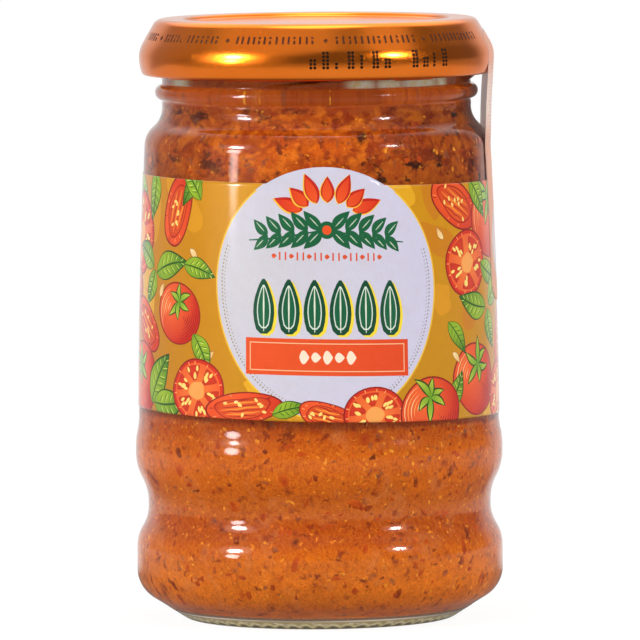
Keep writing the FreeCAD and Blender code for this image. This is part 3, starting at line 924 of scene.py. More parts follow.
def triangulate(outline, art, pitch):
    """Flat triangles that follow the outline and every edge of the drawing, with a shape each."""
    outline = np.asarray(outline, float)
    low, high = outline.min(0), outline.max(0)
    xs = np.arange(low[0] + pitch / 2, high[0], pitch)
    ys = np.arange(low[1] + pitch / 2, high[1], pitch)
    grid = np.stack(np.meshgrid(xs, ys), axis=-1).reshape(-1, 2)
    odd_row = np.arange(len(grid)) // len(xs) % 2
    grid[:, 0] += np.where(odd_row, pitch * 0.25, -pitch * 0.25)
    grid = grid[inside(outline, grid)]
    points, edges = [], []
    for loop in [outline] + [s[0] for s in art.shapes]:
        first = len(points)
        points.extend(map(tuple, loop))
        edges.extend((first + k, first + (k + 1) % len(loop)) for k in range(len(loop)))
    points.extend(map(tuple, grid))
    points = [Vector(p) for p in points]
    verts, _, trios, *_ = delaunay_2d_cdt(points, edges, [], 0, 1e-5)
    verts = np.array([v[:] for v in verts])
    trios = np.array(trios)
    middles = verts[trios].mean(axis=1)
    keep = inside(outline, middles)
    trios, middles = trios[keep], middles[keep]
    owner = np.full(len(trios), -1)
    for number, (loop, *_) in enumerate(art.shapes):
        close = (middles > loop.min(0)) & (middles < loop.max(0))
        near = np.nonzero(close.all(axis=1))[0]
        if len(near):
            owner[near[inside(loop, middles[near])]] = number
    return verts, trios, owner


def facing(verts, trios, way):
    """The triangles, all turned up (way 1) or down (way -1)."""
    a, b, c = (verts[trios[:, k]] for k in range(3))
    area = (b - a)[:, 0] * (c - a)[:, 1] - (b - a)[:, 1] * (c - a)[:, 0]
    flip = area * way < 0
    trios[flip] = trios[flip][:, ::-1]
    return trios


def border(trios):
    """The points round the edge of a sheet of triangles, in order."""
    sides = {(int(trio[k]), int(trio[(k + 1) % 3])): True for trio in trios for k in range(3)}
    after = dict(side for side in sides if side[::-1] not in sides)
    loop = [next(iter(after))]
    while after[loop[-1]] != loop[0]:
        loop.append(after[loop[-1]])
    return loop


def skin_piece(name, outline, art, ground, place, look, slot, pitch, edge_colour):
    """A thin closed skin whose face carries the drawing. ground(points) gives the colour under
    it. place(points, share) puts flat points on the object: share 1 is the printed face and 0
    the glued one. pitch is the spacing of the printed face's points and of the glued one's."""
    verts, trios, owner = triangulate(outline, art, pitch[0])
    trios = facing(verts, trios, 1)
    colours = np.array(ground(verts[trios.ravel()])).reshape(-1, 3, 3)
    for number in range(len(art.shapes)):
        mine = owner == number
        if mine.any():
            colours[mine] = art.shade(number, verts[trios[mine].ravel()]).reshape(-1, 3, 3)
    loop = border(trios)
    back, back_trios, _ = triangulate(verts[loop], Art(), pitch[1])
    back_trios = facing(back, back_trios, -1)

    first = len(verts)
    where = {(round(x, 4), round(y, 4)): number for number, (x, y) in enumerate(back)}
    faces = [tuple(map(int, t)) for t in trios]
    faces += [tuple(int(i) + first for i in t) for t in back_trios]
    for here, there in zip(loop, loop[1:] + loop[:1]):
        i, j = (where.get((round(x, 4), round(y, 4))) for x, y in (verts[here], verts[there]))
        if i is not None and j is not None:
            faces.append((here, first + i, first + j, there))
    plain = sum(len(f) for f in faces) - 3 * len(trios)
    paint = with_alpha(np.vstack([colours.reshape(-1, 3)] + [linear(edge_colour)] * plain))

    every = np.vstack([place(verts, 1.0), place(back, 0.0)])
    kept = sorted({i for f in faces for i in f})
    renumber = {old: new for new, old in enumerate(kept)}
    faces = [tuple(renumber[i] for i in f) for f in faces]
    return make_piece(name, every[kept], faces, look, slot, paint=paint)


# ---------------------------------------------------------------- label

LABEL_LOW, LABEL_HIGH = 36.0, 76.0
SKEW = math.tan(math.radians(1.35))
HALF_TURN = math.radians(180 - 7)
GIRTH = 30.9
PAPER = 0.12
DOME_X, DOME_R, DOME_TOP = 1.5, 20.0, 79.0
DOME_Y = DOME_TOP - DOME_R
panel_at = wall_radius([PANEL_LOW] + arc(PANEL_LOW, PANEL_HIGH, PANEL_CURVE, 1, 0.5))


def place_label(points, share):
    """(distance round the jar to the right, height) in millimetres to the label's skin."""
    a = points[:, 0] / GIRTH
    z = points[:, 1] - 30.7 * np.sin(a) * SKEW
    r = panel_at(z) + PAPER * share + 0.001
    return np.stack([r * np.sin(a), -r * np.cos(a), z], axis=1)


def label_outline():
    reach, pitch = GIRTH * HALF_TURN, 1.1
    meet = math.sqrt(DOME_R**2 - (LABEL_HIGH - DOME_Y) ** 2)
    turn = math.asin((LABEL_HIGH - DOME_Y) / DOME_R)
    points = [(x, LABEL_LOW) for x in np.arange(-reach, reach, pitch)] + [(reach, LABEL_LOW)]
    points += [(reach, z) for z in np.arange(LABEL_LOW + pitch, LABEL_HIGH, pitch)]
    points += [(reach, LABEL_HIGH)]
    right, left = DOME_X + meet + 0.3, DOME_X - meet - 0.6
    points += [(x, LABEL_HIGH) for x in np.arange(reach - pitch, right, -pitch)]
    points += oval(DOME_X, DOME_Y, DOME_R, DOME_R, np.linspace(turn, math.pi - turn, 36))
    points += [(x, LABEL_HIGH) for x in np.arange(left, -reach + 0.2, -pitch)]
    points += [(-reach, LABEL_HIGH)]
    points += [(-reach, z) for z in np.arange(LABEL_HIGH - pitch, LABEL_LOW + 0.2, -pitch)]
    return np.array(points)


RIND, SEED = (150, 26, 14), (255, 226, 120)
BANNER, DASH = (236, 84, 30), (222, 84, 44)
LAUREL, PINE = (24, 96, 58), (14, 74, 48)
PANEL_WHITE, PANEL_SHADE, GOLD_EDGE = (209, 206, 213), (212, 208, 233), (242, 196, 60)


def fruit(art, x, y, r, seed, turn):
    """A whole round fruit with a pointed calyx, engraved with fine lines."""
    draw = random.Random(seed)
    squash = 0.92

    def engraved(share, start, stop, count, colour):
        rr = r * share
        path = oval(x, y, rr, rr * squash, np.linspace(start, stop, count))
        art.fill(stroke(path, 0.2, 0.9), colour)

    art.fill(uneven(x, y, r * 1.03, r * squash * 1.03, turn, 0.02, seed), RIND)
    body = uneven(x, y, r * 0.98, r * squash * 0.98, turn, 0.02, seed)
    art.fill(body, (250, 104, 44), (206, 36, 14), (x - 0.35 * r, y + 0.3 * r), 1.25 * r)
    for k in range(9):
        start = math.radians(-100 + 9 * k + draw.uniform(-4, 4))
        stop = math.radians(38 - 8 * k + draw.uniform(-6, 6))
        engraved(0.93 - 0.085 * k, start, stop, 9, (160, 24, 12))
    for k in range(6):
        start = math.radians(118 + 5 * k + draw.uniform(-5, 5))
        stop = math.radians(214 - 9 * k + draw.uniform(-5, 5))
        engraved(0.88 - 0.10 * k, start, stop, 8, (255, 168, 84) if k % 2 else (255, 206, 150))
    cx, cy = x + 0.15 * r * math.cos(turn + 1.4), y + 0.42 * r * math.sin(turn + 1.4)
    for k in range(6):
        a = turn + k * math.pi / 3 + draw.uniform(-0.25, 0.25)
        reach = r * draw.uniform(0.5, 0.8)
        bow = draw.uniform(-0.08, 0.08) * r
        art.fill(leaf_outline(cx, cy, reach, 0.28 * r, a, bow), (34, 74, 16))
        sepal = leaf_outline(cx, cy, reach * 0.92, 0.18 * r, a, bow)
        art.fill(sepal, (112, 166, 30), (200, 214, 70), (cx, cy), reach)


def wheel(art, x, y, r, seed, squash, turn):
    """A slice cut across, with wedge-shaped chambers and seeds."""
    draw = random.Random(seed)

    def disc(share, *colours, tall=None, lumps=0.02, shift=0):
        ry = r * (tall or share) * squash
        shape = uneven(x, y, r * share, ry, turn, lumps, seed + shift)
        art.fill(shape, *colours, *([(x, y), r] if len(colours) > 1 else []))

    def spot(share, angle):
        return x + share * r * math.cos(angle), y + share * r * squash * math.sin(angle)

    disc(1.0, RIND)
    disc(0.95, (232, 62, 26), (214, 40, 18))
    disc(0.86, (250, 126, 52), (234, 84, 34))
    disc(0.30, (252, 168, 84), tall=0.28, lumps=0.08, shift=1)
    count = draw.choice((5, 6))
    for k in range(count):
        a = turn + (k + 0.5) * TURN / count
        half_way = math.pi / count * 0.74
        outer = oval(0, 0, 0.80 * r, 0.80 * r, np.linspace(a - half_way, a + half_way, 7))
        near = np.linspace(a + half_way * 0.5, a - half_way * 0.5, 4)
        chamber = smooth_loop(outer + oval(0, 0, 0.32 * r, 0.32 * r, near))
        chamber = chamber * (1, squash) + (x, y)
        art.fill(chamber, (222, 58, 22), (176, 30, 14), spot(0.6, a), 0.45 * r)
        for _ in range(5):
            t = draw.uniform(a - half_way * 0.7, a + half_way * 0.7)
            sx, sy = spot(draw.uniform(0.42, 0.74), t)
            art.fill(ellipse(sx, sy, 0.085 * r, 0.045 * r, t, 8), SEED)
    for k in range(14):
        a = turn + TURN * k / 14 + draw.uniform(-0.1, 0.1)
        art.fill(stroke([spot(q, a) for q in (0.82, 0.88, 0.93)], 0.16, 0.6), (255, 190, 110))


def half(art, x, y, length, width, turn, seed):
    """A dried half with its folds and seeds."""
    draw = random.Random(seed)
    c, s = math.cos(turn), math.sin(turn)

    def at(u, v):
        return (x + u * c - v * s, y + u * s + v * c)

    def body(long_share, wide_share, lumps, shift, count, *colours):
        rx, ry = length / 2 * long_share, width / 2 * wide_share
        art.fill(uneven(x, y, rx, ry, turn, lumps, seed + shift, count), *colours)

    lit = at(-0.2 * length, 0.2 * width)
    body(1.0, 1.0, 0.04, 0, 40, (140, 24, 12))
    body(0.95, 0.92, 0.04, 0, 40, (244, 92, 36), (212, 46, 18), lit, 0.7 * length)
    body(0.74, 0.66, 0.10, 1, 36, (176, 34, 14))
    body(0.70, 0.60, 0.10, 1, 36, (236, 98, 32), (210, 54, 18), (x, y), 0.4 * length)
    for k in range(7):
        v = (k - 3) / 3.6 * width * 0.28
        reach = length * 0.30 * (1 - 0.4 * abs(k - 3) / 3)
        path = [at(u, v + draw.uniform(-0.12, 0.12)) for u in np.linspace(-reach, reach, 6)]
        art.fill(stroke(path, 0.26, 0.7), (252, 152, 50) if k % 2 else (180, 36, 14))
    for _ in range(9):
        u, v = draw.uniform(-0.28, 0.28) * length, draw.uniform(-0.22, 0.22) * width
        art.fill(ellipse(*at(u, v), 0.42, 0.24, draw.uniform(0, 3), 8), (255, 222, 120))
    for k in range(10):
        t = draw.uniform(0, 6.28)
        u, v = length / 2 * math.cos(t), width / 2 * math.sin(t)
        tone = (255, 160, 90) if k % 2 else (160, 28, 12)
        art.fill(stroke([at(q * u, q * v) for q in (0.78, 0.84, 0.9)], 0.18, 0.6), tone)


def leaf(art, x, y, length, width, turn, seed, bow=0.0):
    """A broad leaf, engraved with its veins and fine lines."""
    draw = random.Random(seed)
    c, s = math.cos(turn), math.sin(turn)

    def vein(points, thick, taper, colour):
        """A line through (share of the length, distance to the left of the midrib)."""
        path = []
        for t, v in points:
            px, py = t * length, bow * 4 * t * (1 - t) + v
            path.append((x + px * c - py * s, y + px * s + py * c))
        art.fill(stroke(path, thick, taper), colour)

    shine = (x + 0.35 * length * math.cos(turn + 0.4), y + 0.35 * length * math.sin(turn + 0.4))
    art.fill(leaf_outline(x, y, length * 1.03, width * 1.10, turn, bow), (38, 74, 16))
    foot = 0.01 * length
    blade = leaf_outline(x + foot * c, y + foot * s, length * 0.97, width, turn, bow)
    art.fill(blade, (158, 190, 40), (54, 118, 28), shine, 0.62 * length)
    vein([(t, 0) for t in np.linspace(0.02, 0.93, 9)], 0.05 * width + 0.1, 0.5, (40, 88, 22))
    for k in range(1, 6):
        t = 0.06 + 0.145 * k
        span = width * 0.38 * math.sin(math.pi * min(t + 0.10, 1))
        for v in (span, -span):
            vein(((t, 0), (t + 0.07, v * 0.6), (t + 0.12, v)), 0.16, 0.6, (56, 108, 26))
            if width > 3.4:
                u = t + draw.uniform(0.05, 0.08)
                gleam = ((u, 0.25 * v), (u + 0.05, v * 0.6), (u + 0.08, v * 0.85))
                vein(gleam, 0.14, 0.6, (226, 236, 110))


def nut(art, x, y, size, turn):
    """A pine kernel."""
    art.fill(leaf_outline(x, y, size * 1.05, size * 0.56, turn, 0.05 * size), (176, 108, 40))
    x0, y0 = x + 0.03 * size * math.cos(turn), y + 0.03 * size * math.sin(turn)
    kernel = leaf_outline(x0, y0, size * 0.95, size * 0.44, turn, 0.05 * size)
    art.fill(kernel, (252, 226, 166), (232, 176, 92), (x, y), size)


# The produce round the front panel, from the back to the front: each row's numbers are x, y,
# then sizes, seed and turn as its function takes them.
PRODUCE = (
    (leaf, -47.0, 75.0, 9.0, 4.6, -0.5, 40, 0.5),
    (wheel, -43.5, 66.0, 7.6, 41, 0.95, 0.2),
    (leaf, -35.5, 77.4, 9.0, 4.6, -1.75, 52, 0.5),
    (half, -28.0, 70.6, 13.0, 7.2, 1.25, 53),
    (leaf, -21.5, 77.0, 7.4, 3.2, -2.3, 54, -0.6),
    (leaf, -34.5, 59.6, 9.6, 5.0, 0.25, 44, 0.6),
    (leaf, -35.5, 60.6, 8.6, 4.6, 2.75, 45, -0.6),
    (leaf, -35.0, 60.2, 7.0, 4.0, 4.2, 55, 0.3),
    (nut, -24.4, 64.4, 2.8, -0.9),
    (leaf, -26.0, 61.6, 7.4, 3.8, -0.25, 79, 0.4),
    (leaf, -22.0, 72.6, 7.6, 3.6, 2.3, 80, -0.5),
    (nut, -20.6, 45.4, 2.6, 0.8),
    (fruit, -47.2, 56.0, 5.4, 39, 0.2),
    (fruit, -27.5, 53.2, 5.6, 46, -0.4),
    (half, -38.6, 50.6, 12.6, 7.0, -0.6, 56),
    (leaf, -23.5, 50.0, 7.4, 3.8, -1.1, 57, 0.5),
    (fruit, -41.4, 40.8, 7.2, 48, 0.6),
    (leaf, -36.0, 37.4, 10.5, 6.0, 0.95, 49, 0.5),
    (leaf, -35.0, 37.6, 10.0, 5.4, 0.1, 58, -0.6),
    (nut, -33.0, 55.6, 2.8, 1.1),
    (wheel, -22.6, 40.4, 6.0, 50, 0.9, 0.2),
    (half, 27.6, 72.6, 14.0, 7.6, -0.5, 59),
    (fruit, 40.0, 70.0, 7.6, 61, 0.3),
    (leaf, 32.0, 76.6, 8.6, 4.4, -0.9, 60, 0.5),
    (wheel, 30.4, 62.4, 6.2, 62, 0.92, 0.4),
    (nut, 24.0, 66.6, 2.6, 2.2),
    (leaf, 35.0, 62.2, 8.6, 4.2, -0.35, 63, -0.5),
    (leaf, 38.0, 55.0, 9.4, 5.0, 0.55, 64, 0.5),
    (leaf, 36.8, 54.6, 9.2, 5.0, 2.9, 65, 0.6),
    (leaf, 37.4, 54.4, 7.4, 4.2, -1.2, 66, -0.4),
    (half, 45.0, 48.6, 12.0, 6.8, 1.2, 69),
    (fruit, 32.4, 42.6, 6.6, 67, -0.3),
    (leaf, 24.6, 52.6, 7.0, 3.4, -0.9, 75, 0.4),
    (nut, 25.6, 47.4, 2.6, -0.8),
    (wheel, 43.6, 39.6, 6.2, 68, 0.9, 0.9),
    (leaf, 24.2, 38.2, 7.0, 3.6, 1.0, 76, -0.5),
)
# Fruit that overlaps the foot of the panel
FOOT_ROW = (
    (half, -13.4, 37.9, 14.5, 5.6, 0.12, 77),
    (leaf, -8.0, 37.0, 6.4, 3.0, 0.25, 74, 0.3),
    (half, 1.2, 37.0, 9.6, 4.8, -0.25, 78),
    (wheel, 9.6, 37.2, 5.6, 71, 0.86, 0.2),
    (fruit, 20.6, 37.4, 6.4, 73, 0.5),
)


def label_art():
    art = Art()
    draw = random.Random(5)
    for _ in range(60):  # soft clouds in the ground
        x, y = draw.uniform(-92, 92), draw.uniform(36, 77)
        tone = draw.choice(((232, 170, 26), (222, 152, 18), (206, 128, 16)))
        long_way, wide, turn = draw.uniform(2, 6), draw.uniform(1.2, 3), draw.uniform(0, 3)
        art.fill(uneven(x, y, long_way, wide, turn, 0.12, draw.randint(1, 999)), tone)
    for motif, *numbers in PRODUCE:
        motif(art, *numbers)
    for side in (-1, 1):  # round to the back on both sides
        for k, (x, y) in enumerate(((54, 68), (56, 44), (66, 57))):
            seed = 80 + 10 * k + side
            if (k + side) % 2:
                fruit(art, side * x, y, 7.0, seed, 0.3 * side)
            else:
                wheel(art, side * x, y, 6.8, seed, 0.9, 0.4)
        half(art, side * 68.0, 45.6, 12.0, 6.6, 1.2 * side, 150 + side)
        half(art, side * 65.5, 70.4, 12.0, 6.6, -0.5 * side, 160 + side)
        leaf(art, side * 53.0, 55.4, 9.0, 4.8, 1.57 - 0.9 * side, 130 + side)
        leaf(art, side * 60.5, 52.0, 8.6, 4.6, 1.57 + 0.6 * side, 140 + side)
        leaf(art, side * 61.0, 37.6, 8.6, 4.6, 1.4 - 0.4 * side, 170 + side)
        nut(art, side * 59.5, 62.8, 2.8, 0.7)
        nut(art, side * 50.2, 59.0, 2.8, 2.0)
    back_panels(art)
    front_panel(art)
    return art


def back_panels(art):
    """Plain cream panels where such a label carries its small print, with fine rules only."""
    for x0, x1 in ((-94.0, -73.5), (73.5, 94.0)):
        for inset, corner, tone in (
            (0.0, 1.6, (238, 230, 206)),
            (0.9, 1.2, (34, 102, 68)),
            (1.15, 1.0, (244, 240, 226)),
        ):
            box = rounded(x0 + inset, 37.6 + inset, x1 - inset, 74.4 - inset, corner)
            art.fill(densely(box), tone)
        for k in range(9):
            y = 41.5 + 3.2 * k
            rule = rounded(x0 + 2.6, y, x1 - 2.6, y + 0.16, 0.07, 2)
            art.fill(densely(rule), (150, 160, 140))
        for side in (-1, 1):
            leaf(art, (x0 + x1) / 2, 70.9, side * 4.6, 1.9, 0.0, 7)


EGG_X, EGG_Y, EGG_R, EGG_LOW = 1.6, 59.2, 19.8, 22.8


def egg(inset, start=0.0, stop=TURN, count=96):
    """The outline of the front panel, or a part of it, moved in by inset."""
    t = np.linspace(start, stop, count, endpoint=stop - start < 6.28)
    tall = np.where(np.sin(t) > 0, EGG_R - inset, EGG_LOW - inset)
    return np.stack([EGG_X + (EGG_R - inset) * np.cos(t), EGG_Y + tall * np.sin(t)], axis=1)


def front_panel(art):
    """The white panel, which rises past the egg's top edge, with its ornaments."""
    art.fill(egg(-0.28)[egg(-0.28)[:, 1] > 30], GOLD_EDGE)
    radius = DOME_R + 0.2
    dome = oval(DOME_X, DOME_Y, radius, radius, np.linspace(0.9, math.pi - 0.9, 30))
    for outline in (egg(0.0), dome):
        art.fill(outline, PANEL_WHITE, PANEL_SHADE, (EGG_X - 14, EGG_Y), 36)
    beads(art)
    sunburst(art)
    garland(art)
    for k in range(-9, 10):  # a row of strokes and lozenges
        x = EGG_X + 1.02 * k
        if k % 3 == 0:
            art.fill(leaf_outline(x - 0.42, 63.9, 0.9, 0.9, 0.0), DASH)
        else:
            art.fill(rounded(x - 0.14, 63.2, x + 0.14, 64.6, 0.1, 2), DASH)
    upright_leaves(art)
    banner(art)
    for motif, *numbers in FOOT_ROW:
        motif(art, *numbers)


def beads(art):
    """Two rows of fine dots inside the lower edge of the panel."""
    for inset, size in ((0.95, 0.15), (1.45, 0.10)):
        path = egg(inset, math.pi - 0.33, TURN + 0.33, 600)
        length = np.concatenate([[0], np.cumsum(np.hypot(*np.diff(path, axis=0).T))])
        for s in np.arange(0, length[-1], 0.62):
            x, y = (np.interp(s, length, path[:, k]) for k in (0, 1))
            if y > LABEL_LOW - 0.5:
                tone = (150, 130, 60) if x < EGG_X else (140, 140, 130)
                art.fill(ellipse(x, y, size, size, 0, 7), tone)


def sunburst(art):
    """Seven petals at the head of the panel."""
    x, y = EGG_X + 0.1, 70.9
    for k in (0, 6, 1, 5, 2, 4, 3):
        a = math.radians(20 + 140 * k / 6)
        c, s = math.cos(a), math.sin(a)
        px, py = x + 4.6 * c, y + 2.0 * s
        size = 4.6 if k % 2 else 5.6
        art.fill(leaf_outline(px, py, size, 3.0, a), (250, 190, 60))
        art.fill(leaf_outline(px + 0.1, py + 0.15, size * 0.96, 2.7, a), (196, 34, 20))
        petal = leaf_outline(px + 0.3 * c, py + 0.3 * s, size * 0.84, 1.9, a)
        art.fill(petal, (244, 96, 36), (222, 50, 24), (x, y), 9)


def garland(art):
    """Two laurel branches that meet in the middle."""
    y = 68.4
    for side in (-1, 1):
        stem = EGG_X + side * 0.9
        for k in range(5):
            out = side * 2.35 * k
            px, py = stem + out, y - 0.012 * out**2
            for way in (1, -1):
                a = (0 if side > 0 else math.pi) + way * side * 0.80
                blade = leaf_outline(px, py, 4.5 - 0.22 * k, 2.3 - 0.07 * k, a, 0.15)
                art.fill(blade, LAUREL)
                rib = [(px + q * math.cos(a), py + q * math.sin(a)) for q in (0.9, 1.8, 2.9)]
                art.fill(stroke(rib, 0.2, 0.6), (196, 214, 190))
        path = curve((stem, y), (stem + side * 12.8, y - 2.0), side * -0.3)
        art.fill(stroke(path, 0.4, 0.5), LAUREL)
    art.fill(ellipse(EGG_X, y, 1.5, 1.5, 0, 20), LAUREL)
    art.fill(ellipse(EGG_X, y, 0.8, 0.8, 0, 14), (236, 84, 34))


def upright_leaves(art):
    """Six upright leaves with flat feet and a pale shadow line."""
    y, tall = 50.7, 9.6
    for k in range(6):
        x = EGG_X - 11.0 + 4.4 * k
        art.fill(upright(x + 0.42, y - 0.32, 3.95, tall), (250, 222, 60))
        art.fill(upright(x, y, 3.85, tall), PINE)
        art.fill(upright(x, y + 0.9, 2.5, tall - 2.0), (214, 228, 214))
        art.fill(upright(x, y + 1.15, 2.1, tall - 2.6), (22, 96, 62))
        rib = [(x, y + 0.4), (x, y + tall * 0.5), (x, y + tall - 1.4)]
        art.fill(stroke(rib, 0.3, 0.6), (226, 236, 214))


def upright(x, y, width, tall):
    """An upright leaf with a flat foot and a pointed tip."""
    side = ((0.62, 0), (1.0, 0.30), (0.92, 0.58), (0.45, 0.86))
    right = [(width / 2 * px, tall * py) for px, py in side]
    left = [(-px, py) for px, py in right]
    return smooth_loop(np.array([left[0]] + right + [(0, tall)] + left[:0:-1]) + (x, y))


def banner(art):
    """A plain banner with a fine frame and five lozenges."""

    def box(x0, y0, x1, y1):
        return densely([(x0, y0), (x1, y0), (x1, y1), (x0, y1)])

    field = box(EGG_X - 14.2, 43.8, EGG_X + 14.2, 50.0)
    art.fill(field, BANNER, (230, 70, 26), (EGG_X - 8, 48), 26)
    x0, x1, y0, y1, w = EGG_X - 13.5, EGG_X + 13.5, 44.5, 49.3, 0.16
    for edge in (
        (x0, y0, x1, y0 + w),
        (x0, y1 - w, x1, y1),
        (x0, y0 + w, x0 + w, y1 - w),
        (x1 - w, y0 + w, x1, y1 - w),
    ):
        art.fill(box(*edge), (252, 196, 150))
    for k in range(-2, 3):
        wide = 1.9 if k % 2 else 2.6
        art.fill(leaf_outline(EGG_X + 2.0 * k - 0.85, 46.9, 1.7, wide, 0.0), (255, 232, 206))


def label_ground(points):
    """Golden orange, warmer to the left."""
    warm = np.clip((-points[:, 0] - 10) / 35, 0, 1)[:, None]
    rise = np.clip((points[:, 1] - LABEL_LOW) / 40, 0, 1)[:, None]
    plain, warmer = np.array(linear((206, 142, 4))), np.array(linear((200, 127, 4)))
    return (plain * (1 - warm) + warmer * warm) * (0.94 + 0.12 * rise)


paper = Look(
    "printed_paper",
    Roughness=0.42,
    Specular_IOR_Level=0.15,
    Coat_Weight=1.0,
    Coat_Roughness=0.07,
    Coat_IOR=1.34,
)
fibre = paper.steps(paper.noise(6.0, 3, 0.6, stretch=(1, 1, 0.6)), (0.3, 0.0), (0.7, 1.0))
ink = paper.over(paper.attribute("print"), (120, 96, 70), fibre, 0.10, blend="MULTIPLY")
cloud = paper.steps(paper.noise(0.5, 3, 0.5), (0.35, 0.0), (0.7, 1.0))
ink = paper.over(ink, (236, 214, 190), cloud, 0.12, blend="MULTIPLY")
paper.feed("Base Color", ink)
paper.feed("Roughness", paper.steps(paper.noise(1.2, 3, 0.5), (0.2, 0.36), (0.8, 0.5)))
paper.bump(paper.noise(0.35, 3, 0.5), 0.05, 0.3)

label_piece = skin_piece(
    "label_paper",
    label_outline(),
    label_art(),
    label_ground,
    place_label,
    paper,
    "label",
    (0.95, 1.6),
    (226, 222, 214),
)
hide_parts("wrap_label")

# ---------------------------------------------------------------- seal strip

STRIP_TURN = math.radians(2.0)
STRIP_LOW, STRIP_HIGH, STRIP_HALF = 54.5, 100.6, 8.7
cap_path = [SLOPE_HIGH, SLOPE_LOW] + arc(SLOPE_LOW, CAP_GIRTH, 5.0, -1, 0.2)
strip_path = cap_path + line(CAP_GIRTH, (29.72, 81.2), 1.0)
strip_path += [(panel_at(z) + PAPER, z) for z in np.arange(80.8, 35, -0.5)]
strip_at = wall_radius(strip_path)


def place_strip(points, share):
    """(distance to the back, height) to the film. It spans the neck and dips in a little."""
    y, z = points[:, 0], points[:, 1]
    slack = 0.10 * np.exp(-(((z - 88.5) / 4.0) ** 2))
    r = strip_at(z) - slack + 0.012 + 0.085 * share
    x = np.sqrt(np.maximum(r**2 - y**2, 1))
    c, s = math.cos(STRIP_TURN), math.sin(STRIP_TURN)
    return np.stack([x * c - y * s, x * s + y * c, z], axis=1)


def strip_art():
    art = Art()
    draw = random.Random(15)
    for row in range(26):
        z = 80.5 + 0.62 * row
        x = -7.4 + draw.uniform(0, 1.5)
        while x < 7.2:
            wide = draw.uniform(0.25, 0.9)
            art.fill(rounded(x, z, x + wide, z + 0.2, 0.06, 2), (204, 130, 112))
            x += wide + draw.uniform(0.3, 0.9)
    # a thin brown line down one edge of the film: a painted shadow of that edge
    art.fill(rounded(-8.62, 58.0, -8.46, 80.0, 0.07, 2), (150, 92, 70))
    art.fill(ellipse(0.0, 64.5, 7.3, 6.6, 0, 48), (246, 240, 240))
    bow = oval(0.0, 64.5, 6.6, 5.9, np.linspace(2.2, 4.1, 16))
    art.fill(stroke(bow, 0.3, 0.4), (130, 142, 168))
    return art


def strip_ground(points):
    """Salmon paper, painted paler where it spans the neck, for the light that comes through."""
    share = np.exp(-(((points[:, 1] - 89.0) / 5.0) ** 4))[:, None]
    salmon, pale = np.array(linear((252, 172, 132))), np.array(linear((255, 226, 208)))
    return salmon * (1 - share) + pale * share


film = Look("seal_film", Roughness=0.35, Alpha=0.7)
tint = film.over(film.attribute("print"), (250, 214, 196), film.noise(1.5, 3), 0.25)
film.feed("Base Color", tint)
film.bump(film.noise(0.5, 3), 0.05, 0.4)

strip_piece = skin_piece(
    "strip_film",
    densely(rounded(-STRIP_HALF, STRIP_LOW, STRIP_HALF, STRIP_HIGH, 4.5, 12), 1.0),
    strip_art(),
    strip_ground,
    place_strip,
    film,
    "seal",
    (0.8, 1.2),
    # the glued face and the edges, painted pale for the light that comes through the film to its
    # shaded inner side
    (255, 236, 226),
)
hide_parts("seal_strip")

# ---------------------------------------------------------------- marks on the cap


def wall_marks():
    """A ring of dashes and diamonds on the cap's sloping wall, as thin raised ink."""
    ring = []
    rise = np.subtract(SLOPE_HIGH, SLOPE_LOW)
    slope = rise / np.hypot(*rise)
    draw = random.Random(77)
    mean = 28.9
    x = 0.0
    while x < TURN * mean - 12:
        for _ in range(14):
            tall = draw.choice((0.7, 1.45, 1.45))
            ring.append(rounded(x, 0.85, x + 0.36, 0.85 + tall, 0.1, 3))
            if tall < 1:
                ring.append(ellipse(x + 0.18, 2.05, 0.24, 0.24, 0, 10))
            x += 0.96 + draw.choice((0, 0.16))
        x += 0.9
        ring.append(np.array([(x, 1.5), (x + 0.4, 1.95), (x + 0.8, 1.5), (x + 0.4, 1.05)]))
        x += 2.1

    def place(points, lift):
        out = np.array([slope[1], -slope[0]])
        r, z = (SLOPE_LOW + slope * points[:, 1:2] + out * lift).T
        a = points[:, 0] / mean
        return np.stack([r * np.cos(a), r * np.sin(a), z], axis=1)

    return ring, place


def code_marks():
    """Two groups of plain dotted bars, where a date would be sprayed."""
    dots = []
    x = 0.0
    for group in ((3, 5, 2, 5, 4, 5, 3), (5, 3, 4, 5)):
        for tall in group:
            for k in range(tall):
                dots.append(ellipse(x, 0.62 * k, 0.27, 0.27, 0, 10))
                if tall % 2:
                    dots.append(ellipse(x + 0.66, 0.62 * k, 0.27, 0.27, 0, 10))
            x += 2.15
        x += 3.2
    profile = arc(SLOPE_LOW, CAP_GIRTH, 5.0, -1, 0.1)
    profile += arc(profile[-1], SKIRT_END, 8.0, -1, 0.1)
    at = wall_radius([SLOPE_LOW] + profile)
    start = -math.pi / 2 - 0.03

    def place(points, lift):
        z = 95.7 + points[:, 1]
        r = at(z) + lift
        a = start + points[:, 0] / 30.2
        return np.stack([r * np.cos(a), r * np.sin(a), z], axis=1)

    return dots, place


def marks_piece(name, outlines, place, look):
    """Small raised marks, each a closed shape that dips into the cap."""
    verts, faces = [], []
    for outline in outlines:
        base, count = len(verts), len(outline)
        verts.extend(place(outline, 0.02))
        verts.extend(place(outline, -0.04))
        faces.append(tuple(base + k for k in range(count)))
        faces.append(tuple(base + count + k for k in range(count - 1, -1, -1)))
        for k in range(count):
            n = (k + 1) % count
            faces.append((base + k, base + count + k, base + count + n, base + n))
    make_piece(name, verts, faces, look, "cap", smooth=False)


brown = Look("brown_ink", Roughness=0.5, Specular_IOR_Level=0.2)
brown.feed("Base Color", brown.mix(brown.noise(2.0), (70, 28, 10), (92, 42, 18)))
marks_piece("cap_ring_marks", *wall_marks(), brown)
black = Look("sprayed_ink", Roughness=0.6, Specular_IOR_Level=0.1)
black.feed("Base Color", black.mix(black.noise(3.0), (24, 10, 4), (44, 22, 8)))
marks_piece("cap_code_marks", *code_marks(), black)

# ---------------------------------------------------------------- studio


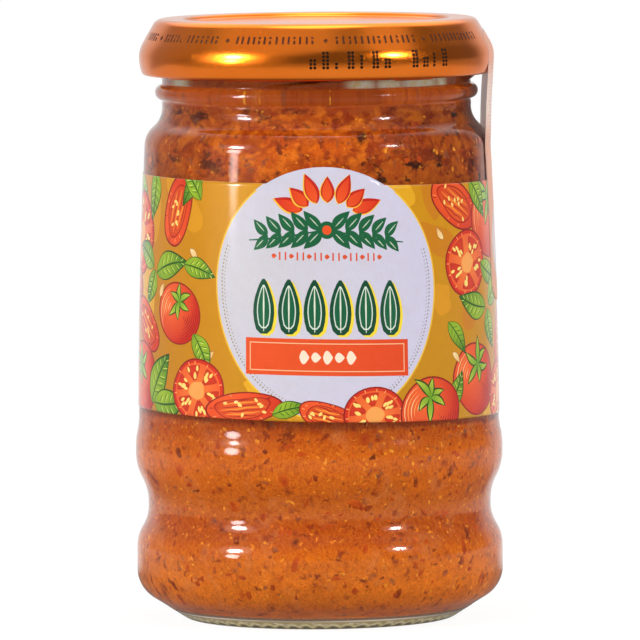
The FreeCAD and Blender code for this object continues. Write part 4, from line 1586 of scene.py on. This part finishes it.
def smooth_between(look, value, low, high, to_low, to_high):
    node = look.add("ShaderNodeMapRange", interpolation_type="SMOOTHSTEP")
    for number, level in enumerate((low, high, to_low, to_high)):
        node.inputs[number + 1].default_value = level
    look.link(value, node.inputs["Value"])
    return node.outputs[0]


table = Look("studio_white", Roughness=0.9, Specular_IOR_Level=0.0)
table.shader.inputs["Base Color"].default_value = (0.9, 0.9, 0.9, 1)
ray = table.add("ShaderNodeLightPath").outputs
seen = table.math("MAXIMUM", ray["Is Camera Ray"], ray["Is Transmission Ray"])
# mirrored in the glass and the cap, the table is bright behind the jar and dim far in front, and
# dimmed close round the jar as a painted shadow
size = table.add("ShaderNodeVectorMath", operation="LENGTH")
table.link(table.place, size.inputs[0])
away = size.outputs["Value"]
near = smooth_between(table, away, 60.0, 180.0, 0.26, 1.0)
near = table.math("MULTIPLY", near, smooth_between(table, away, 380.0, 700.0, 0.80, 0.42))
back_share = table.math("DIVIDE", table.axis("Y"), away)
behind = smooth_between(table, back_share, 0.56, 0.80, 0.0, 0.9)
behind = table.math("MULTIPLY", behind, smooth_between(table, away, 50.0, 120.0, 0.0, 1.0))
strength = table.add("ShaderNodeMix", data_type="FLOAT")
table.link(seen, strength.inputs[0])
table.link(table.math("MAXIMUM", near, behind), strength.inputs[2])
strength.inputs[3].default_value = 1.07
shine = table.add("ShaderNodeEmission")
table.link(strength.outputs[0], shine.inputs["Strength"])
share = table.math("MAXIMUM", table.math("MULTIPLY", seen, 0.86), ray["Is Glossy Ray"])
table.blend_out(share, shine.outputs[0])

floor_mesh = bpy.data.meshes.new("floor")
corners = [(-3.0, -3.0, 0), (3.0, -3.0, 0), (3.0, 3.0, 0), (-3.0, 3.0, 0)]
floor_mesh.from_pydata(corners, [], [(0, 1, 2, 3)])
floor_mesh.materials.append(table.material)
floor = bpy.data.objects.new("floor", floor_mesh)
floor.location.z = -0.0002
scene.collection.objects.link(floor)

world = bpy.data.worlds.new("studio")
scene.world = world
world.use_nodes = True
sky = world.node_tree
sky.nodes.clear()


def sky_node(kind, inputs=(), **settings):
    """A node of the world. inputs gives a number or a socket for each of its inputs in turn."""
    node = sky.nodes.new(kind)
    for key, value in settings.items():
        setattr(node, key, value)
    for place, value in inputs:
        if isinstance(value, (int, float, tuple)):
            node.inputs[place].default_value = value
        else:
            sky.links.new(value, node.inputs[place])
    return node


def towards(azimuth, elevation):
    """The direction to a place in the studio. Azimuth 0 is in front, and positive to the right."""
    a, e = math.radians(azimuth), math.radians(elevation)
    return (math.sin(a) * math.cos(e), -math.cos(a) * math.cos(e), math.sin(e))


def glow(azimuth, elevation, core, edge, level):
    """A soft patch of the studio: full inside core degrees, gone at edge degrees."""
    middle = towards(azimuth, elevation)
    dot = sky_node("ShaderNodeVectorMath", ((0, way), (1, middle)), operation="DOT_PRODUCT")
    low, high = math.cos(math.radians(edge)), math.cos(math.radians(core))
    fall = ((0, dot.outputs["Value"]), (1, low), (2, high), (3, 0.0), (4, float(level)))
    return sky_node("ShaderNodeMapRange", fall, interpolation_type="SMOOTHSTEP").outputs[0]


def larger(first, second):
    return sky_node("ShaderNodeMath", ((0, first), (1, second)), operation="MAXIMUM").outputs[0]


def chosen(share, off, on):
    node = sky_node("ShaderNodeMix", ((0, share), (2, off), (3, on)), data_type="FLOAT")
    return node.outputs[0]


ray = sky_node("ShaderNodeLightPath").outputs
way = sky_node("ShaderNodeTexCoord").outputs["Generated"]
depth = sky_node("ShaderNodeSeparateXYZ", ((0, way),)).outputs["Y"]
# What the glass and the cap mirror: white behind the object, a dark room in front with soft
# patches of light, each (azimuth, elevation, core, edge, level).
room = ((0, depth), (1, 0.60), (2, 0.80), (3, 0.18), (4, 0.86))
mirrored = sky_node("ShaderNodeMapRange", room).outputs[0]
for patch in (
    (0, 90, 12, 26, 4.0),
    (180, 62, 28, 54, 1.8),
    (-47, 52, 10, 48, 0.70),
    (-8, 58, 6, 26, 0.62),
    (30, 56, 6, 24, 0.36),
    (64, 48, 6, 22, 0.75),
    (-118, 22, 15, 45, 0.42),
    (-58, 10, 12, 30, 1.2),
    (-58, 12, 18, 58, 0.42),
    (58, 18, 5, 18, 0.7),
    (-57, 21, 5.0, 15, 5.0),
    (-57, 19.5, 2.8, 6.8, 92.0),
    (-57, 6, 1.4, 6.5, 44.0),
    (54, 23, 3.0, 12, 4.0),
    (54, 23, 1.8, 5.6, 80.0),
):
    mirrored = larger(mirrored, glow(*patch))
ambient = chosen(ray["Is Glossy Ray"], 0.64, mirrored)
level = chosen(larger(ray["Is Camera Ray"], ray["Is Transmission Ray"]), ambient, 1.0)
background = sky_node("ShaderNodeBackground", ((1, level), (0, (1.0, 1.0, 1.0, 1.0))))
sky_node("ShaderNodeOutputWorld", ((0, background.outputs[0]),))


def softbox(name, azimuth, elevation, distance, power, width, tall):
    data = bpy.data.lights.new(name, "AREA")
    data.shape = "ELLIPSE"
    data.size, data.size_y = width, tall
    data.energy = power
    light = bpy.data.objects.new(name, data)
    way_out = Vector(towards(azimuth, elevation))
    light.location = way_out * distance + Vector((0, 0, 0.05))
    light.visible_glossy = False
    light.rotation_euler = (-way_out).to_track_quat("-Z", "Y").to_euler()
    scene.collection.objects.link(light)


softbox("softbox_left", -57, 23, 1.1, 4.6, 0.25, 0.30)
softbox("softbox_right", 54, 24, 1.1, 3.8, 0.22, 0.27)

EYE = Vector((0.0, -1.55, 0.164))
TARGET = Vector((0.0003, 0.0, 0.0510))
camera_data = bpy.data.cameras.new("camera")
camera_data.lens = 508.7
camera_data.sensor_width = 36
camera_data.clip_start = 0.05
camera = bpy.data.objects.new("camera", camera_data)
camera.location = EYE
look = (TARGET - EYE).to_track_quat("-Z", "Y").to_matrix()
camera.rotation_euler = (look @ Matrix.Rotation(math.radians(-0.45), 3, "Z")).to_euler()
scene.collection.objects.link(camera)
scene.camera = camera

scene.view_settings.view_transform = "Standard"
